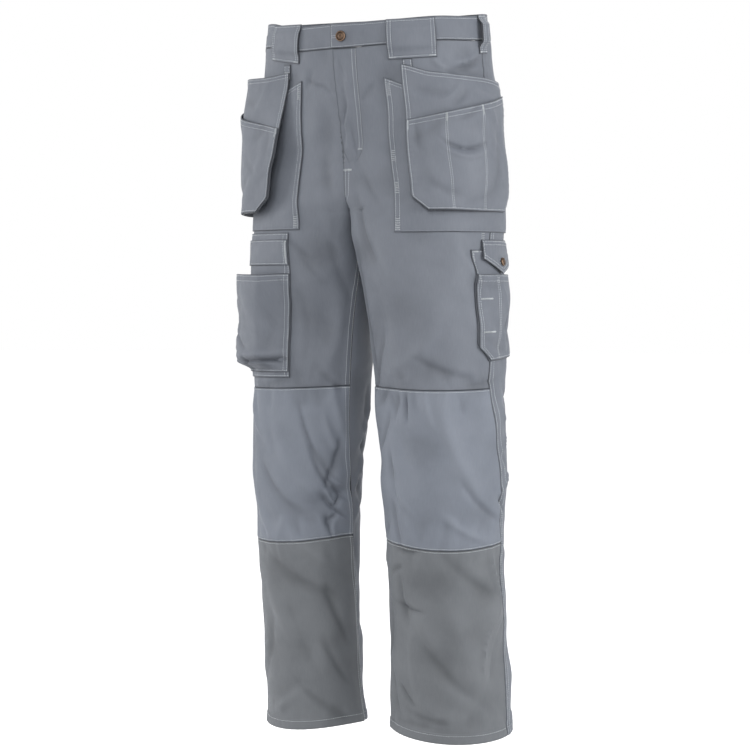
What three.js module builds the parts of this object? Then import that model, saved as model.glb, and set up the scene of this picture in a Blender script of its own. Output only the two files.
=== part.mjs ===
// Work pants with hanging pockets, filled out and empty, as the pieces of cloth that are cut and sewn.
// Millimetres. The origin is the middle of the waist; +X is the wearer's left, -Y the front, +Z up.
import * as THREE from "three";

// Driving sizes
const waistTop = 8;
const bandSeam = -29;
const kneeTop = -529;
const kneeBottom = -751;
const hem = { left: -1031, right: -1031 };
const hemTurnUp = 14;
const hipPanelBottom = -301;
const panelCloth = 1.6;
const patchCloth = 1.4;
const bandCloth = 2.4;
const seamGap = 0.3;
const firstGap = 1; // from a panel to a flat piece sewn on it
const layGap = 0.7; // between flat pieces on one another
const waistTilt = 0.1; // the waist rises this much to the back for each millimetre of depth
const legGap = 0.2; // from the mid plane to a thigh that touches the other
const thighRound = 10; // softness of the thigh's edge along the mid plane

// One row is one level section, an oval. Depths are to the front and the back; turn is the oval's own
// turn about the leg, in degrees, towards the front.
const sectionColumns = ["level", "centreX", "centreY", "halfWide", "depthFront", "depthBack", "turn"];
const sections = {
  left: named(sectionColumns, [
    [20, 0, 0, 174, 121, 117, 0],
    [-22, 0, 0, 175, 122, 122, 0],
    [-80, 0, 0, 182, 118, 138, 0],
    [-140, 0, 0, 190, 114, 150, 0],
    [-190, 4, 0, 189, 112, 150, 0],
    [-240, 34, 0, 163, 113, 140, 0],
    [-290, 74, -2, 124, 111, 122, -2],
    [-350, 92, -4, 104, 110, 108, -4],
    [-450, 106, -10, 97, 97, 97, -6],
    [-560, 114, -16, 95, 86, 86, -8],
    [-650, 119, -18, 93, 80, 80, -10],
    [-760, 118, -12, 87, 76, 76, -10],
    [-860, 117, -4, 87, 73, 73, -8],
    [-960, 117, 2, 90, 72, 72, -8],
    [-1046, 117, 6, 92, 72, 72, -6],
  ]),
  right: named(sectionColumns, [
    [20, 0, 0, 175, 121, 117, 0],
    [-22, 0, 0, 177, 122, 122, 0],
    [-80, 0, 0, 187, 118, 138, 0],
    [-140, 0, 0, 194, 114, 150, 0],
    [-190, 4, 0, 191, 112, 150, 0],
    [-240, 34, 0, 164, 113, 140, 0],
    [-290, 74, -2, 124, 111, 122, -2],
    [-350, 92, -4, 104, 110, 108, -6],
    [-450, 103, -10, 92, 90, 90, -16],
    [-560, 108, -16, 94, 84, 84, -24],
    [-650, 113, -18, 93, 79, 79, -30],
    [-760, 117, -12, 89, 73, 73, -34],
    [-860, 119, -4, 87, 70, 70, -34],
    [-960, 118, 2, 88, 70, 70, -34],
    [-1046, 116, 6, 89, 70, 70, -32],
  ]),
};

// Angles of the seams round each leg, in degrees from the outermost line towards the front.
const seamColumns = ["level", "side", "inseam"];
const seams = {
  left: named(seamColumns, [
    [20, 0, 160],
    [-240, 4, 160],
    [-350, 8, 166],
    [-530, 8, 172],
    [-690, -2, 176],
    [-1046, 0, 180],
  ]),
  right: named(seamColumns, [
    [20, 0, 160],
    [-240, 4, 158],
    [-350, 10, 153],
    [-530, 10, 158],
    [-760, 2, 179],
    [-1046, 2, 190],
  ]),
};

// The crotch seam: where a panel's inner edge runs, for each row of the panel.
const crotch = named(["row", "front", "back", "level"], [
  [-150, 90, -90, -150],
  [-200, 93, -93, -203],
  [-225, 99, -99, -230],
  [-245, 110, -114, -252],
  [-262, 132, -140, -268],
  [-278, 160, -200, -278],
]);

// Large folds of the panels. Place is millimetres round from the outermost line and the level; angle
// is from the level line; a negative height is a trough.
const foldColumns = ["round", "level", "angle", "length", "width", "height"];
const folds = {
  left: named(foldColumns, [
    [188, -480, 78, 150, 26, -4],
    [92, -400, -72, 190, 46, 4],
    [176, -590, 70, 110, 30, -4.5],
    [150, -640, 60, 90, 30, -3.5],
    [30, -610, -60, 120, 30, 3.5],
    [64, -905, 68, 170, 34, 4],
    [150, -860, -62, 110, 36, -3.5],
    [120, -1000, 30, 70, 34, 3.5],
    [-150, -600, 12, 130, 34, -4],
    [-140, -655, -10, 140, 36, -4.5],
    [-120, -330, 35, 140, 40, -4],
    [-160, -880, -25, 130, 40, 4],
  ]),
  right: named(foldColumns, [
    [222, -690, 25, 80, 26, -4.5],
    [206, -725, -35, 90, 26, -4],
    [84, -580, 82, 150, 34, 3.5],
    [196, -900, 58, 190, 40, 4],
    [150, -960, 62, 120, 34, -3.5],
    [205, -440, 70, 130, 34, -3.5],
    [-150, -610, -14, 130, 34, -4],
    [-130, -660, 10, 130, 36, -4.5],
    [-120, -335, -30, 140, 40, -4],
    [-150, -890, 28, 130, 40, 4],
  ]),
};

const cloth = material("main_cloth", 0x7e848f, 0.88);
const kneeCloth = material("knee_cloth", 0x848b96, 0.86);
const buttonMetal = material("button_metal", 0x6e5541, 0.42, 0.9);

function named(columns, rows) {
  return rows.map((row) => Object.fromEntries(columns.map((name, i) => [name, row[i]])));
}

function material(name, color, roughness, metalness = 0) {
  return new THREE.MeshStandardMaterial({ name, color, roughness, metalness });
}

function smooth(from, to, x) {
  return THREE.MathUtils.smoothstep((x - from) / (to - from), 0, 1);
}

function mix(a, b, t) {
  return a + (b - a) * t;
}

// A table's value at a place, on a curve that is smooth through its rows and level at its peaks.
function along(rows, key, at, value) {
  const down = rows[0][key] > rows[rows.length - 1][key];
  const before = (row) => (down ? row[key] >= at : row[key] <= at);
  let i = rows.findLastIndex(before);
  i = THREE.MathUtils.clamp(i, 0, rows.length - 2);
  const slope = (k) => {
    const a = rows[Math.max(k - 1, 0)];
    const b = rows[Math.min(k + 1, rows.length - 1)];
    const peak = (rows[k][value] - a[value]) * (b[value] - rows[k][value]) <= 0;
    return peak ? 0 : (b[value] - a[value]) / (b[key] - a[key]);
  };
  const span = rows[i + 1][key] - rows[i][key];
  const t = THREE.MathUtils.clamp((at - rows[i][key]) / span, 0, 1);
  const rise = t * t * (3 - 2 * t);
  return (
    mix(rows[i][value], rows[i + 1][value], rise) +
    span * (t * (1 - t) ** 2 * slope(i) - t * t * (1 - t) * slope(i + 1))
  );
}

// The smooth body of the garment at a level and an angle, without folds. Below the hips it is kept
// clear of the mid plane, except where it is asked for as free.
function bodyPoint(side, level, degrees, free = false) {
  const rows = sections[side];
  const [cx, cy, wide, front, back, turn] = sectionColumns.slice(1).map((c) => along(rows, "level", level, c));
  const t = THREE.MathUtils.degToRad(turn);
  const u = THREE.MathUtils.degToRad(degrees) - t;
  const a = wide * Math.cos(u);
  const b = (Math.sin(u) > 0 ? front : back) * Math.sin(u);
  const y = cy - a * Math.sin(t) - b * Math.cos(t);
  let x = cx + a * Math.cos(t) - b * Math.sin(t);
  if (level < -150 && !free) {
    const soft = mix(0.15, thighRound, smooth(-205, -285, level));
    const over = (x - legGap) / soft;
    x = legGap + soft * (over > 30 ? over : Math.log1p(Math.exp(over)));
  }
  const z = level + waistTilt * smooth(-260, -60, level) * y;
  return new THREE.Vector3(side === "left" ? x : -x, y, z);
}

// Distances round the cloth from the outermost line, tabled once for each side.
const levelStep = 5;
const angleStep = 3;
const angleReach = 219;
const roundTables = { left: makeRounds("left"), right: makeRounds("right") };

function makeRounds(side) {
  const table = [];
  for (let level = 30; level >= -1060; level -= levelStep) {
    const points = [];
    for (let d = -angleReach; d <= angleReach; d += angleStep) points.push(bodyPoint(side, level, d));
    const sums = [0];
    for (let i = 1; i < points.length; i++) sums.push(sums[i - 1] + points[i].distanceTo(points[i - 1]));
    const zero = sums[angleReach / angleStep];
    table.push(sums.map((s) => s - zero));
  }
  return table;
}

function roundOf(side, level, degrees) {
  const row = THREE.MathUtils.clamp((30 - level) / levelStep, 0, roundTables[side].length - 1.001);
  const col = THREE.MathUtils.clamp((degrees + angleReach) / angleStep, 0, (2 * angleReach) / angleStep - 0.001);
  const at = (r) => mix(roundTables[side][r][Math.floor(col)], roundTables[side][r][Math.floor(col) + 1], col % 1);
  return mix(at(Math.floor(row)), at(Math.floor(row) + 1), row % 1);
}

function angleAt(side, level, round) {
  let low = -angleReach;
  let high = angleReach;
  for (let i = 0; i < 24; i++) {
    const middle = (low + high) / 2;
    if (roundOf(side, level, middle) < round) low = middle;
    else high = middle;
  }
  return (low + high) / 2;
}

function bodyNormal(side, level, degrees) {
  const step = 1.5;
  const across = bodyPoint(side, level, degrees + step).sub(bodyPoint(side, level, degrees - step));
  const up = bodyPoint(side, level + 4, degrees).sub(bodyPoint(side, level - 4, degrees));
  const n = side === "left" ? across.cross(up) : up.cross(across);
  return n.negate().normalize();
}

function foldHeight(side, round, level, x) {
  let sum = 0;
  for (const f of folds[side]) {
    const a = THREE.MathUtils.degToRad(f.angle);
    const dx = round - f.round;
    const dz = level - f.level;
    const lengthways = (dx * Math.cos(a) + dz * Math.sin(a)) / (f.length / 2);
    const crossways = (dz * Math.cos(a) - dx * Math.sin(a)) / (f.width / 2);
    sum += f.height * Math.exp(-(lengthways ** 4) - crossways * crossways);
  }
  return sum * smooth(2, 16, Math.abs(x));
}

// A point of the cloth's outer face, moved out by a distance, and its normal.
function onCloth(side, round, level, out = 0) {
  const degrees = angleAt(side, level, round);
  const point = bodyPoint(side, level, degrees);
  const normal = bodyNormal(side, level, degrees);
  const height = foldHeight(side, round, level, point.x) + out;
  return { point: point.addScaledVector(normal, height), normal };
}

// The knee seams and the hem dip to the front, so a level line follows them.
const dips = named(["level", "left", "right"], [
  [-420, 0, 0],
  [-530, 5, 4],
  [-751, 14, 10],
  [-900, 10, 6],
  [-1031, 15, 10],
]);
const dipAngle = { left: 60, right: 70 };

function lineLevel(side, level, round) {
  const degrees = angleAt(side, level, round);
  const near = Math.cos(THREE.MathUtils.degToRad(0.85 * (degrees - dipAngle[side])));
  const inReach = Math.abs(degrees - dipAngle[side]) < 105;
  return level - (inReach ? near * near : 0) * (level < -420 ? along(dips, "level", level, side) : 0);
}

// A closed wall through a grid of outer points and normals, with a thickness for each point.
function wall(grid) {
  const rows = grid.length;
  const cols = grid[0].length;
  const positions = [];
  for (const inner of [false, true])
    for (const line of grid)
      for (const g of line) {
        const p = inner ? g.point.clone().addScaledVector(g.normal, -g.thick) : g.point;
        positions.push(p.x, p.y, p.z);
      }
  const outer = (i, j) => i * cols + j;
  const inner = (i, j) => rows * cols + i * cols + j;
  const index = [];
  const quad = (a, b, c, d) => index.push(a, b, c, a, c, d);
  for (let i = 0; i < rows - 1; i++)
    for (let j = 0; j < cols - 1; j++) {
      quad(outer(i, j), outer(i + 1, j), outer(i + 1, j + 1), outer(i, j + 1));
      quad(inner(i, j), inner(i, j + 1), inner(i + 1, j + 1), inner(i + 1, j));
    }
  for (let j = 0; j < cols - 1; j++) {
    quad(outer(0, j), outer(0, j + 1), inner(0, j + 1), inner(0, j));
    quad(outer(rows - 1, j + 1), outer(rows - 1, j), inner(rows - 1, j), inner(rows - 1, j + 1));
  }
  for (let i = 0; i < rows - 1; i++) {
    quad(outer(i + 1, 0), outer(i, 0), inner(i, 0), inner(i + 1, 0));
    quad(outer(i, cols - 1), outer(i + 1, cols - 1), inner(i + 1, cols - 1), inner(i, cols - 1));
  }
  const geometry = new THREE.BufferGeometry();
  geometry.setAttribute("position", new THREE.Float32BufferAttribute(positions, 3));
  if (volume(positions, index) < 0) index.reverse();
  geometry.setIndex(index);
  geometry.computeVertexNormals();
  return geometry;
}

function volume(positions, index) {
  const corner = (i) => new THREE.Vector3().fromArray(positions, 3 * index[i]);
  let sum = 0;
  for (let i = 0; i < index.length; i += 3) sum += corner(i).dot(corner(i + 1).cross(corner(i + 2)));
  return sum / 6;
}

// Normals of a grid of points that stands off the body, facing the same way as the body's.
function ownNormals(grid) {
  const rows = grid.length - 1;
  const cols = grid[0].length - 1;
  const at = (i, j) => grid[THREE.MathUtils.clamp(i, 0, rows)][THREE.MathUtils.clamp(j, 0, cols)].point;
  const normals = grid.map((line, i) =>
    line.map((g, j) => {
      const n = at(i + 1, j).clone().sub(at(i - 1, j)).cross(at(i, j + 1).clone().sub(at(i, j - 1))).normalize();
      return n.dot(g.normal) < 0 ? n.negate() : n;
    }),
  );
  return grid.map((line, i) => line.map((g, j) => ({ ...g, normal: normals[i][j] })));
}

function evenly(count, from = 0, to = 1) {
  return Array.from({ length: count + 1 }, (_, i) => mix(from, to, i / count));
}

const pants = new THREE.Group();

function add(name, geometry, finish) {
  const mesh = new THREE.Mesh(geometry, finish);
  mesh.name = name;
  pants.add(mesh);
}

// The inner edge of a front or back panel: the mid seam, the crotch seam and then the inseam.
function innerEdge(side, face, row) {
  const last = crotch[crotch.length - 1];
  let degrees;
  let level = row;
  if (row > crotch[0].row) degrees = face === "front" ? 90 : -90;
  else if (row >= last.row) {
    degrees = along(crotch, "row", row, face);
    level = along(crotch, "row", row, "level");
  } else {
    const seam = along(seams[side], "level", row, "inseam");
    const ease = smooth(last.row, last.row - 40, row);
    degrees = mix(last[face], face === "front" ? seam : seam - 360, ease);
  }
  return { level, round: roundOf(side, level, degrees) };
}

// Where a panel turns from the thigh's face to the mid plane; further down it is a share of the width.
function bendLine(side, face, level, outer, inner) {
  const share = mix(outer, inner, 0.78);
  if (level < -350) return share;
  const wide = along(sections[side], "level", level, "halfWide");
  const centre = along(sections[side], "level", level, "centreX");
  const degrees = THREE.MathUtils.radToDeg(Math.acos(Math.max(-centre / wide, -0.95)));
  const sign = face === "front" ? 1 : -1;
  const bend = roundOf(side, level, sign * degrees);
  const least = inner - sign * 6;
  const kept = sign * Math.min(sign * bend, sign * least);
  return mix(kept, share, smooth(-275, -350, level));
}

// Rows of a panel between two lines across it, closer together at the crotch.
function panelRows(from, to) {
  const usual = [-60, -95, -128, -156, -180, -200, -218, -235, -252, -262, -270, -278, -296, -322, -352, -388, -426, -462,
    -496, -528.6, -566, -602, -640, -678, -716, -752, -790, -830, -870, -912, -954, -992];
  const clear = 10;
  return [from, ...usual.filter((r) => r < from - clear && r > to + clear), to];
}

function panel(side, face, from, to, columns) {
  const sign = face === "front" ? 1 : -1;
  const rows = panelRows(from, to);
  if (to < hem[side] + 1) rows.splice(-1, 1, to + hemTurnUp + 1, to + hemTurnUp, to);
  const grid = rows.map((row) => {
    const seam = along(seams[side], "level", row, "side");
    const outer = roundOf(side, row, seam) + (sign * seamGap) / 2;
    const edge = innerEdge(side, face, row);
    const inner = edge.round - (sign * seamGap) / 2;
    const bend = bendLine(side, face, edge.level, outer, inner);
    const rounds = [...evenly(columns - 4, outer, bend), ...evenly(4, bend, inner).slice(1)];
    return rounds.map((round) => {
      const spread = (round - outer) / (inner - outer);
      const level = lineLevel(side, mix(row, edge.level, spread ** 2), round);
      const raised = to < hem[side] + 1 && row <= to + hemTurnUp ? 1 : 0;
      return { ...onCloth(side, round, level, raised), thick: panelCloth + raised };
    });
  });
  return wall(grid);
}

for (const side of ["left", "right"]) {
  add("front_" + side, panel(side, "front", bandSeam - seamGap, kneeTop + seamGap / 2, 15), cloth);
  add("knee_" + side, panel(side, "front", kneeTop - seamGap / 2, kneeBottom + seamGap / 2, 15), kneeCloth);
  add("shin_" + side, panel(side, "front", kneeBottom - seamGap / 2, hem[side], 14), cloth);
  add("back_" + side, panel(side, "back", bandSeam - seamGap, hem[side], 14), cloth);
}

// A flat piece that is sewn on the cloth. Its edges are functions of v, from its top to its bottom.
function patch(side, { rear, front, top, bottom }, across, down, { layer = 1, lift = null } = {}) {
  const thick = patchCloth;
  const base = firstGap + (layer - 1) * (layGap + patchCloth);
  const grid = down.map((v) =>
    across.map((u) => {
      const level = mix(top(u), bottom(u), v);
      const round = mix(rear(v, level), front(v, level), u);
      const out = base + thick + (lift ? lift(u, v) : 0);
      return { ...onCloth(side, round, level, out), thick };
    }),
  );
  return wall(lift ? ownNormals(grid) : grid);
}

// A rounded or cut-off corner: how far an edge has moved in, near the bottom of a piece.
function corner(v, height, size) {
  const reach = 1 - size.up / height;
  return v < reach ? 0 : (size.in * (v - reach)) / (1 - reach);
}

// Waistband, in two halves from the seam at the back; the left one laps over the right at the front.
const bandProud = 0.8;
const lapOver = 8;
const lapUnder = 18;
const lapLift = bandCloth + 0.7;

for (const side of ["left", "right"]) {
  const end = side === "left" ? lapOver : lapUnder;
  const front = (v, level) => roundOf(side, level, 90) + end;
  const grid = evenly(2).map((v) =>
    evenly(22).map((u) => {
      const level = mix(waistTop, bandSeam + seamGap / 2, v);
      const round = mix(roundOf(side, level, -90) + seamGap / 2, front(v, level), u);
      const fromFront = roundOf(side, level, 90) - round;
      const lift = side === "left" ? lapLift * smooth(46, 26, fromFront) : 0;
      return { ...onCloth(side, round, level, bandProud + lift), thick: bandCloth };
    }),
  );
  add("waistband_" + side, wall(grid), cloth);
}

// Fly cover, over the left front and a little over the right, rounded at its lower end.
const fly = { wide: 36, lap: 4.5, bottom: -206, turn: 44 };
{
  const grid = evenly(9).map((v) => {
    const level = mix(bandSeam - seamGap, fly.bottom, v);
    const wide = along(sections.left, "level", level, "halfWide");
    const low = smooth(fly.bottom + fly.turn, fly.bottom - 2, level);
    const rear = 3 + (fly.wide - 3) * Math.sqrt(1 - low * low);
    const lap = fly.lap * (1 - smooth(-150, -205, level));
    return evenly(4).map((u) => {
      const degrees = 90 - THREE.MathUtils.radToDeg(mix(rear, -lap, u) / wide);
      const point = bodyPoint("left", level, degrees, true);
      const normal = bodyNormal("left", level, Math.min(degrees, 89));
      return { point: point.addScaledVector(normal, layGap + patchCloth), normal, thick: patchCloth };
    });
  });
  add("fly", wall(grid), cloth);
}

// Belt loops: wide ones at the front, narrow ones at the sides, and one at the back seam.
const loopColumns = ["name", "side", "middle", "wide", "stand"];
const loops = named(loopColumns, [
  ["belt_loop_front_left", "left", 122.5, 70, 2.4],
  ["belt_loop_front_right", "right", 142, 68, 2.4],
  ["belt_loop_side_left", "left", 0, 22, 6.8],
  ["belt_loop_side_right", "right", 0, 22, 6.8],
  ["belt_loop_back", "left", null, 24, 6.8],
]);
const loopTop = 6;
const loopBottom = -49;
const loopCloth = 1.8;

for (const loop of loops) {
  const downs = [0, 0.1, 0.17, 0.25, 0.45, 0.62, 0.7, 0.78, 0.88, 1];
  const stand = (v) => loop.stand * smooth(0.08, 0.27, v) * (1 - smooth(0.68, 0.86, v));
  const step = (v) => bandProud * (1 - smooth(0.66, 0.8, v));
  const grid = downs.map((v) =>
    evenly(loop.wide > 40 ? 6 : 2).map((u) => {
      const level = mix(loopTop, loopBottom, v);
      const middle = loop.middle ?? roundOf("left", level, -90);
      const round = middle + (u - 0.5) * loop.wide;
      const out = step(v) + layGap + loopCloth + stand(v);
      return { ...onCloth(loop.side, round, level, out), thick: loopCloth };
    }),
  );
  add(loop.name, wall(ownNormals(grid)), cloth);
}

// Hip panels: large patches that carry the hanging pockets, with a slanted pocket opening on top.
const hipFront = named(["level", "left", "right"], [
  [-80, 161, 177],
  [-205, 161, 178],
  [-250, 160, 182],
  [-301, 158, 192],
]);
const hipRear = -95;

for (const side of ["left", "right"]) {
  const outline = {
    rear: () => hipRear,
    front: (v, level) => along(hipFront, "level", level, side),
    top: (u) => mix(-158, -80, u ** 1.2),
    bottom: () => hipPanelBottom,
  };
  add("hip_panel_" + side, patch(side, outline, evenly(15), evenly(12)), cloth);
}

// Hanging pockets: a back layer held at its top, an outer pocket on it, and a tab up to the waistband.
const holster = {
  front: { left: 136, right: 144 },
  rear: -38,
  bottom: -278,
  chamfer: { in: 22, up: 20 },
};
const holsterRows = {
  left: { top: [-95, -63], mouth: [-113, -140] },
  right: { top: [-84, -64], mouth: [-124, -148] },
};
const holsterStand = {
  left: (u, v) => 0.4 * smooth(0, 0.1, v) + 6 * smooth(0.2, 0.8, u) * smooth(0.1, 1, v),
  right: (u, v) => 20 * mix(1, smooth(0, 0.65, v), smooth(0.5, 1, u)) - 6 * smooth(0.55, 1, v),
};
const holsterFull = { left: 9, right: 1.5 };
const tabUnder = 8; // how far a tab runs down behind its pocket's top edge

for (const side of ["left", "right"]) {
  const rows = holsterRows[side];
  const height = rows.top[1] - holster.bottom;
  const outline = {
    rear: (v) => holster.rear + corner(v, height, holster.chamfer),
    front: (v) => holster.front[side] - corner(v, height, holster.chamfer),
    top: (u) => mix(rows.top[0], rows.top[1], u ** 0.8),
    bottom: () => holster.bottom,
  };
  const reach = 1 - holster.chamfer.up / height;
  const downs = [...evenly(8, 0, reach), 1];
  add("holster_back_" + side, patch(side, outline, evenly(10), downs, { layer: 2, lift: holsterStand[side] }), cloth);

  const pocketHeight = rows.mouth[1] - holster.bottom;
  const inset = 0.6;
  const pocketOutline = {
    rear: (v) => holster.rear + inset + corner(v, pocketHeight, holster.chamfer),
    front: (v) => holster.front[side] - inset - corner(v, pocketHeight, holster.chamfer),
    top: (u) => mix(rows.mouth[0], rows.mouth[1], u ** 1.1),
    bottom: () => holster.bottom + inset,
  };
  const topAt = (u) => outline.top(u);
  const backV = (u, v) => (mix(pocketOutline.top(u), pocketOutline.bottom(u), v) - topAt(u)) / (outline.bottom(u) - topAt(u));
  const fullness = (u, v) => smooth(0.05, 0.5, u) * (1 - smooth(0.7, 0.95, u)) * (1 - smooth(0.55, 0.93, v));
  const lift = (u, v) => holsterStand[side](u, backV(u, v)) + 0.5 + holsterFull[side] * fullness(u, v);
  const ways = [0, 0.05, 0.11, 0.2, 0.32, 0.44, 0.56, 0.68, 0.8, 0.89, 0.95, 1];
  const pocketReach = 1 - holster.chamfer.up / pocketHeight;
  const pocketDowns = [...evenly(7, 0, pocketReach), 1];
  add("holster_pocket_" + side, patch(side, pocketOutline, ways, pocketDowns, { layer: 3, lift }), cloth);

  const tab = {
    rear: () => holster.front[side] - 13,
    front: () => holster.front[side] + 1,
    top: () => loopBottom - 0.5,
    bottom: () => rows.top[1] - tabUnder,
  };
  add("holster_tab_" + side, patch(side, tab, evenly(1), evenly(2), { layer: 1 }), cloth);
}

// Cargo pocket on the right thigh: a base, a band across it and a bellows pocket below.
const cargoFront = named(["level", "round"], [
  [-305, 176],
  [-342, 178],
  [-365, 176],
  [-403, 166],
  [-440, 157],
  [-517, 154],
]);
const cargoWide = 182;
const cargoEdge = (level) => along(cargoFront, "level", level, "round");
{
  const base = {
    rear: (v, level) => cargoEdge(level) - cargoWide,
    front: (v, level) => cargoEdge(level),
    top: () => -305,
    bottom: () => -517,
  };
  add("cargo_base", patch("right", base, evenly(12), evenly(10)), cloth);
  const band = {
    rear: (v, level) => cargoEdge(level) - cargoWide + 1,
    front: (v, level) => cargoEdge(level) - 1,
    top: () => -315,
    bottom: () => -352,
  };
  add("cargo_band", patch("right", band, evenly(12), evenly(2), { layer: 2 }), cloth);
  const bellows = {
    rear: (v, level) => cargoEdge(level) - cargoWide + 4,
    front: (v, level) => cargoEdge(level) - 6,
    top: () => -364,
    bottom: () => -509,
  };
  const edge = (u) => smooth(0.03, 0.15, u) * (1 - smooth(0.85, 0.97, u));
  const lift = (u, v) => 0.4 + 21 * edge(u) * (1 - smooth(0.9, 0.99, v)) * mix(0.9, 1, smooth(0, 0.5, v));
  const ways = [0, 0.03, 0.07, 0.11, 0.16, 0.3, 0.44, 0.58, 0.72, 0.84, 0.89, 0.93, 0.97, 1];
  const downs = [0, 0.12, 0.25, 0.38, 0.52, 0.66, 0.78, 0.85, 0.9, 0.94, 0.975, 1];
  add("cargo_pocket", patch("right", bellows, ways, downs, { layer: 2, lift }), cloth);
}

// Tool pocket on the left thigh: a base, an outer pocket with a cut-off corner and a pointed flap.
const toolRear = -74;
const toolFront = named(["level", "round"], [
  [-333, 51],
  [-368, 46],
  [-438, 43],
  [-493, 42],
]);
{
  const chamfer = { in: 20, up: 24 };
  const edge = (level) => along(toolFront, "level", level, "round");
  const height = 160;
  const reach = 1 - chamfer.up / height;
  const base = {
    rear: () => toolRear,
    front: (v, level) => edge(level) - corner(v, height, chamfer),
    top: () => -333,
    bottom: (u) => mix(-486, -493, u),
  };
  add("tool_base", patch("left", base, evenly(8), [...evenly(7, 0, reach), 1]), cloth);
  const outer = {
    rear: () => toolRear + 1,
    front: (v, level) => edge(level) - 1.5 - corner(v, height, chamfer),
    top: () => -368,
    bottom: (u) => mix(-485, -492, u),
  };
  const full = (u, v) => 5 * Math.sin(Math.PI * THREE.MathUtils.clamp((u - 0.06) / 0.88, 0, 1)) * (1 - smooth(0.5, 0.9, v));
  const ways = [0, 0.06, 0.18, 0.32, 0.46, 0.6, 0.74, 0.86, 0.94, 1];
  add("tool_pocket", patch("left", outer, ways, [...evenly(6, 0, reach), 1], { layer: 2, lift: full }), cloth);
}
const flap = { rear: -72, front: 28, top: -318, corner: -346, point: -367 };
const flapMiddle = (flap.rear + flap.front) / 2;
const flapLift = (u, v) => 4 * smooth(0.2, 1, v) - (layGap + patchCloth) * (1 - smooth(0, 0.25, v));
{
  const outline = {
    rear: () => flap.rear,
    front: () => flap.front,
    top: () => flap.top,
    bottom: (u) => mix(flap.point, flap.corner, Math.abs(2 * u - 1)),
  };
  add("tool_flap", patch("left", outline, evenly(8), evenly(4), { layer: 2, lift: flapLift }), cloth);
}

// Buttons: a domed metal head with a rolled rim, flat against the cloth behind it.
function button(wide, high) {
  const r = wide / 2;
  const profile = [
    [0, 0],
    [r * 0.86, 0],
    [r, high * 0.3],
    [r, high * 0.62],
    [r * 0.9, high * 0.92],
    [r * 0.78, high * 0.86],
    [r * 0.66, high * 0.62],
    [r * 0.4, high * 0.9],
    [0, high],
  ];
  const points = profile.map(([x, y]) => new THREE.Vector2(x, y));
  return new THREE.LatheGeometry(points, 18);
}

function addButton(name, side, round, level, out, wide, high) {
  const { point, normal } = onCloth(side, round, level, out);
  const geometry = button(wide, high);
  geometry.applyQuaternion(new THREE.Quaternion().setFromUnitVectors(new THREE.Vector3(0, 1, 0), normal));
  geometry.translate(point.x, point.y, point.z);
  add(name, geometry, buttonMetal);
}

addButton("waist_button", "left", roundOf("left", -13, 90) - 14, -12, bandProud + lapLift + 0.5, 15.5, 4.2);
const flapButton = { level: -351, wide: 12, high: 3.6 };
const flapButtonV = (flap.top - flapButton.level) / (flap.top - flap.point);
const flapButtonOut = firstGap + layGap + 2 * patchCloth + flapLift(0.5, flapButtonV) + 1;
addButton("flap_button", "left", flapMiddle, flapButton.level, flapButtonOut, flapButton.wide, flapButton.high);

export default pants;
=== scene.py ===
# Looks of the work pants: every cloth piece as a thin shell on the form of its solid, with its creases,
# its edges, its sewing and its metal. Sizes are in millimetres until a mesh is made from them.
import bpy
import numpy as np
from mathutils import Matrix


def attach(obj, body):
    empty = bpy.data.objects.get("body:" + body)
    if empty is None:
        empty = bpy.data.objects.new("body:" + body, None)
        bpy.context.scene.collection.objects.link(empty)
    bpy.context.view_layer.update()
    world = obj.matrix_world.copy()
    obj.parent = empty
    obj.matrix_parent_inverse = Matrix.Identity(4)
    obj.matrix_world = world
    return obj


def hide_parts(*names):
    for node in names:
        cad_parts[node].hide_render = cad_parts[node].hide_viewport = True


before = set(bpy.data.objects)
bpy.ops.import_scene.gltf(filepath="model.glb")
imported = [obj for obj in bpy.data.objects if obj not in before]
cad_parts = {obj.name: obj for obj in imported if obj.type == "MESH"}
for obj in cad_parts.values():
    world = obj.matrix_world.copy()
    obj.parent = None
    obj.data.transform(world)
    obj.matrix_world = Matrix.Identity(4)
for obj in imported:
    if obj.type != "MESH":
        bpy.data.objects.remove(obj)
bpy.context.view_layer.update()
rng = np.random.default_rng(7)

# The body of the garment: the same tables and curves as its solids
# level, centreX, centreY, halfWide, depthFront, depthBack, turn
sections = {
    "left": np.array([
        [20, 0, 0, 174, 121, 117, 0],
        [-22, 0, 0, 175, 122, 122, 0],
        [-80, 0, 0, 182, 118, 138, 0],
        [-140, 0, 0, 190, 114, 150, 0],
        [-190, 4, 0, 189, 112, 150, 0],
        [-240, 31, 0, 166, 113, 140, 0],
        [-290, 69, -2, 129, 111, 122, -2],
        [-350, 88, -4, 108, 110, 108, -4],
        [-450, 104, -10, 99, 97, 97, -6],
        [-560, 114, -16, 95, 86, 86, -8],
        [-650, 119, -18, 93, 80, 80, -10],
        [-760, 118, -12, 87, 76, 76, -10],
        [-860, 117, -4, 87, 73, 73, -8],
        [-960, 117, 2, 90, 72, 72, -8],
        [-1046, 117, 6, 92, 72, 72, -6],
    ], float),
    "right": np.array([
        [20, 0, 0, 175, 121, 117, 0],
        [-22, 0, 0, 177, 122, 122, 0],
        [-80, 0, 0, 187, 118, 138, 0],
        [-140, 0, 0, 194, 114, 150, 0],
        [-190, 4, 0, 191, 112, 150, 0],
        [-240, 34, 0, 164, 113, 140, 0],
        [-290, 74, -2, 124, 111, 122, -2],
        [-350, 92, -4, 104, 110, 108, -6],
        [-450, 103, -10, 92, 90, 90, -16],
        [-560, 108, -16, 94, 84, 84, -24],
        [-650, 113, -18, 93, 79, 79, -30],
        [-760, 117, -12, 89, 73, 73, -34],
        [-860, 119, -4, 87, 70, 70, -34],
        [-960, 118, 2, 88, 70, 70, -34],
        [-1046, 116, 6, 89, 70, 70, -32],
    ], float),
}
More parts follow.
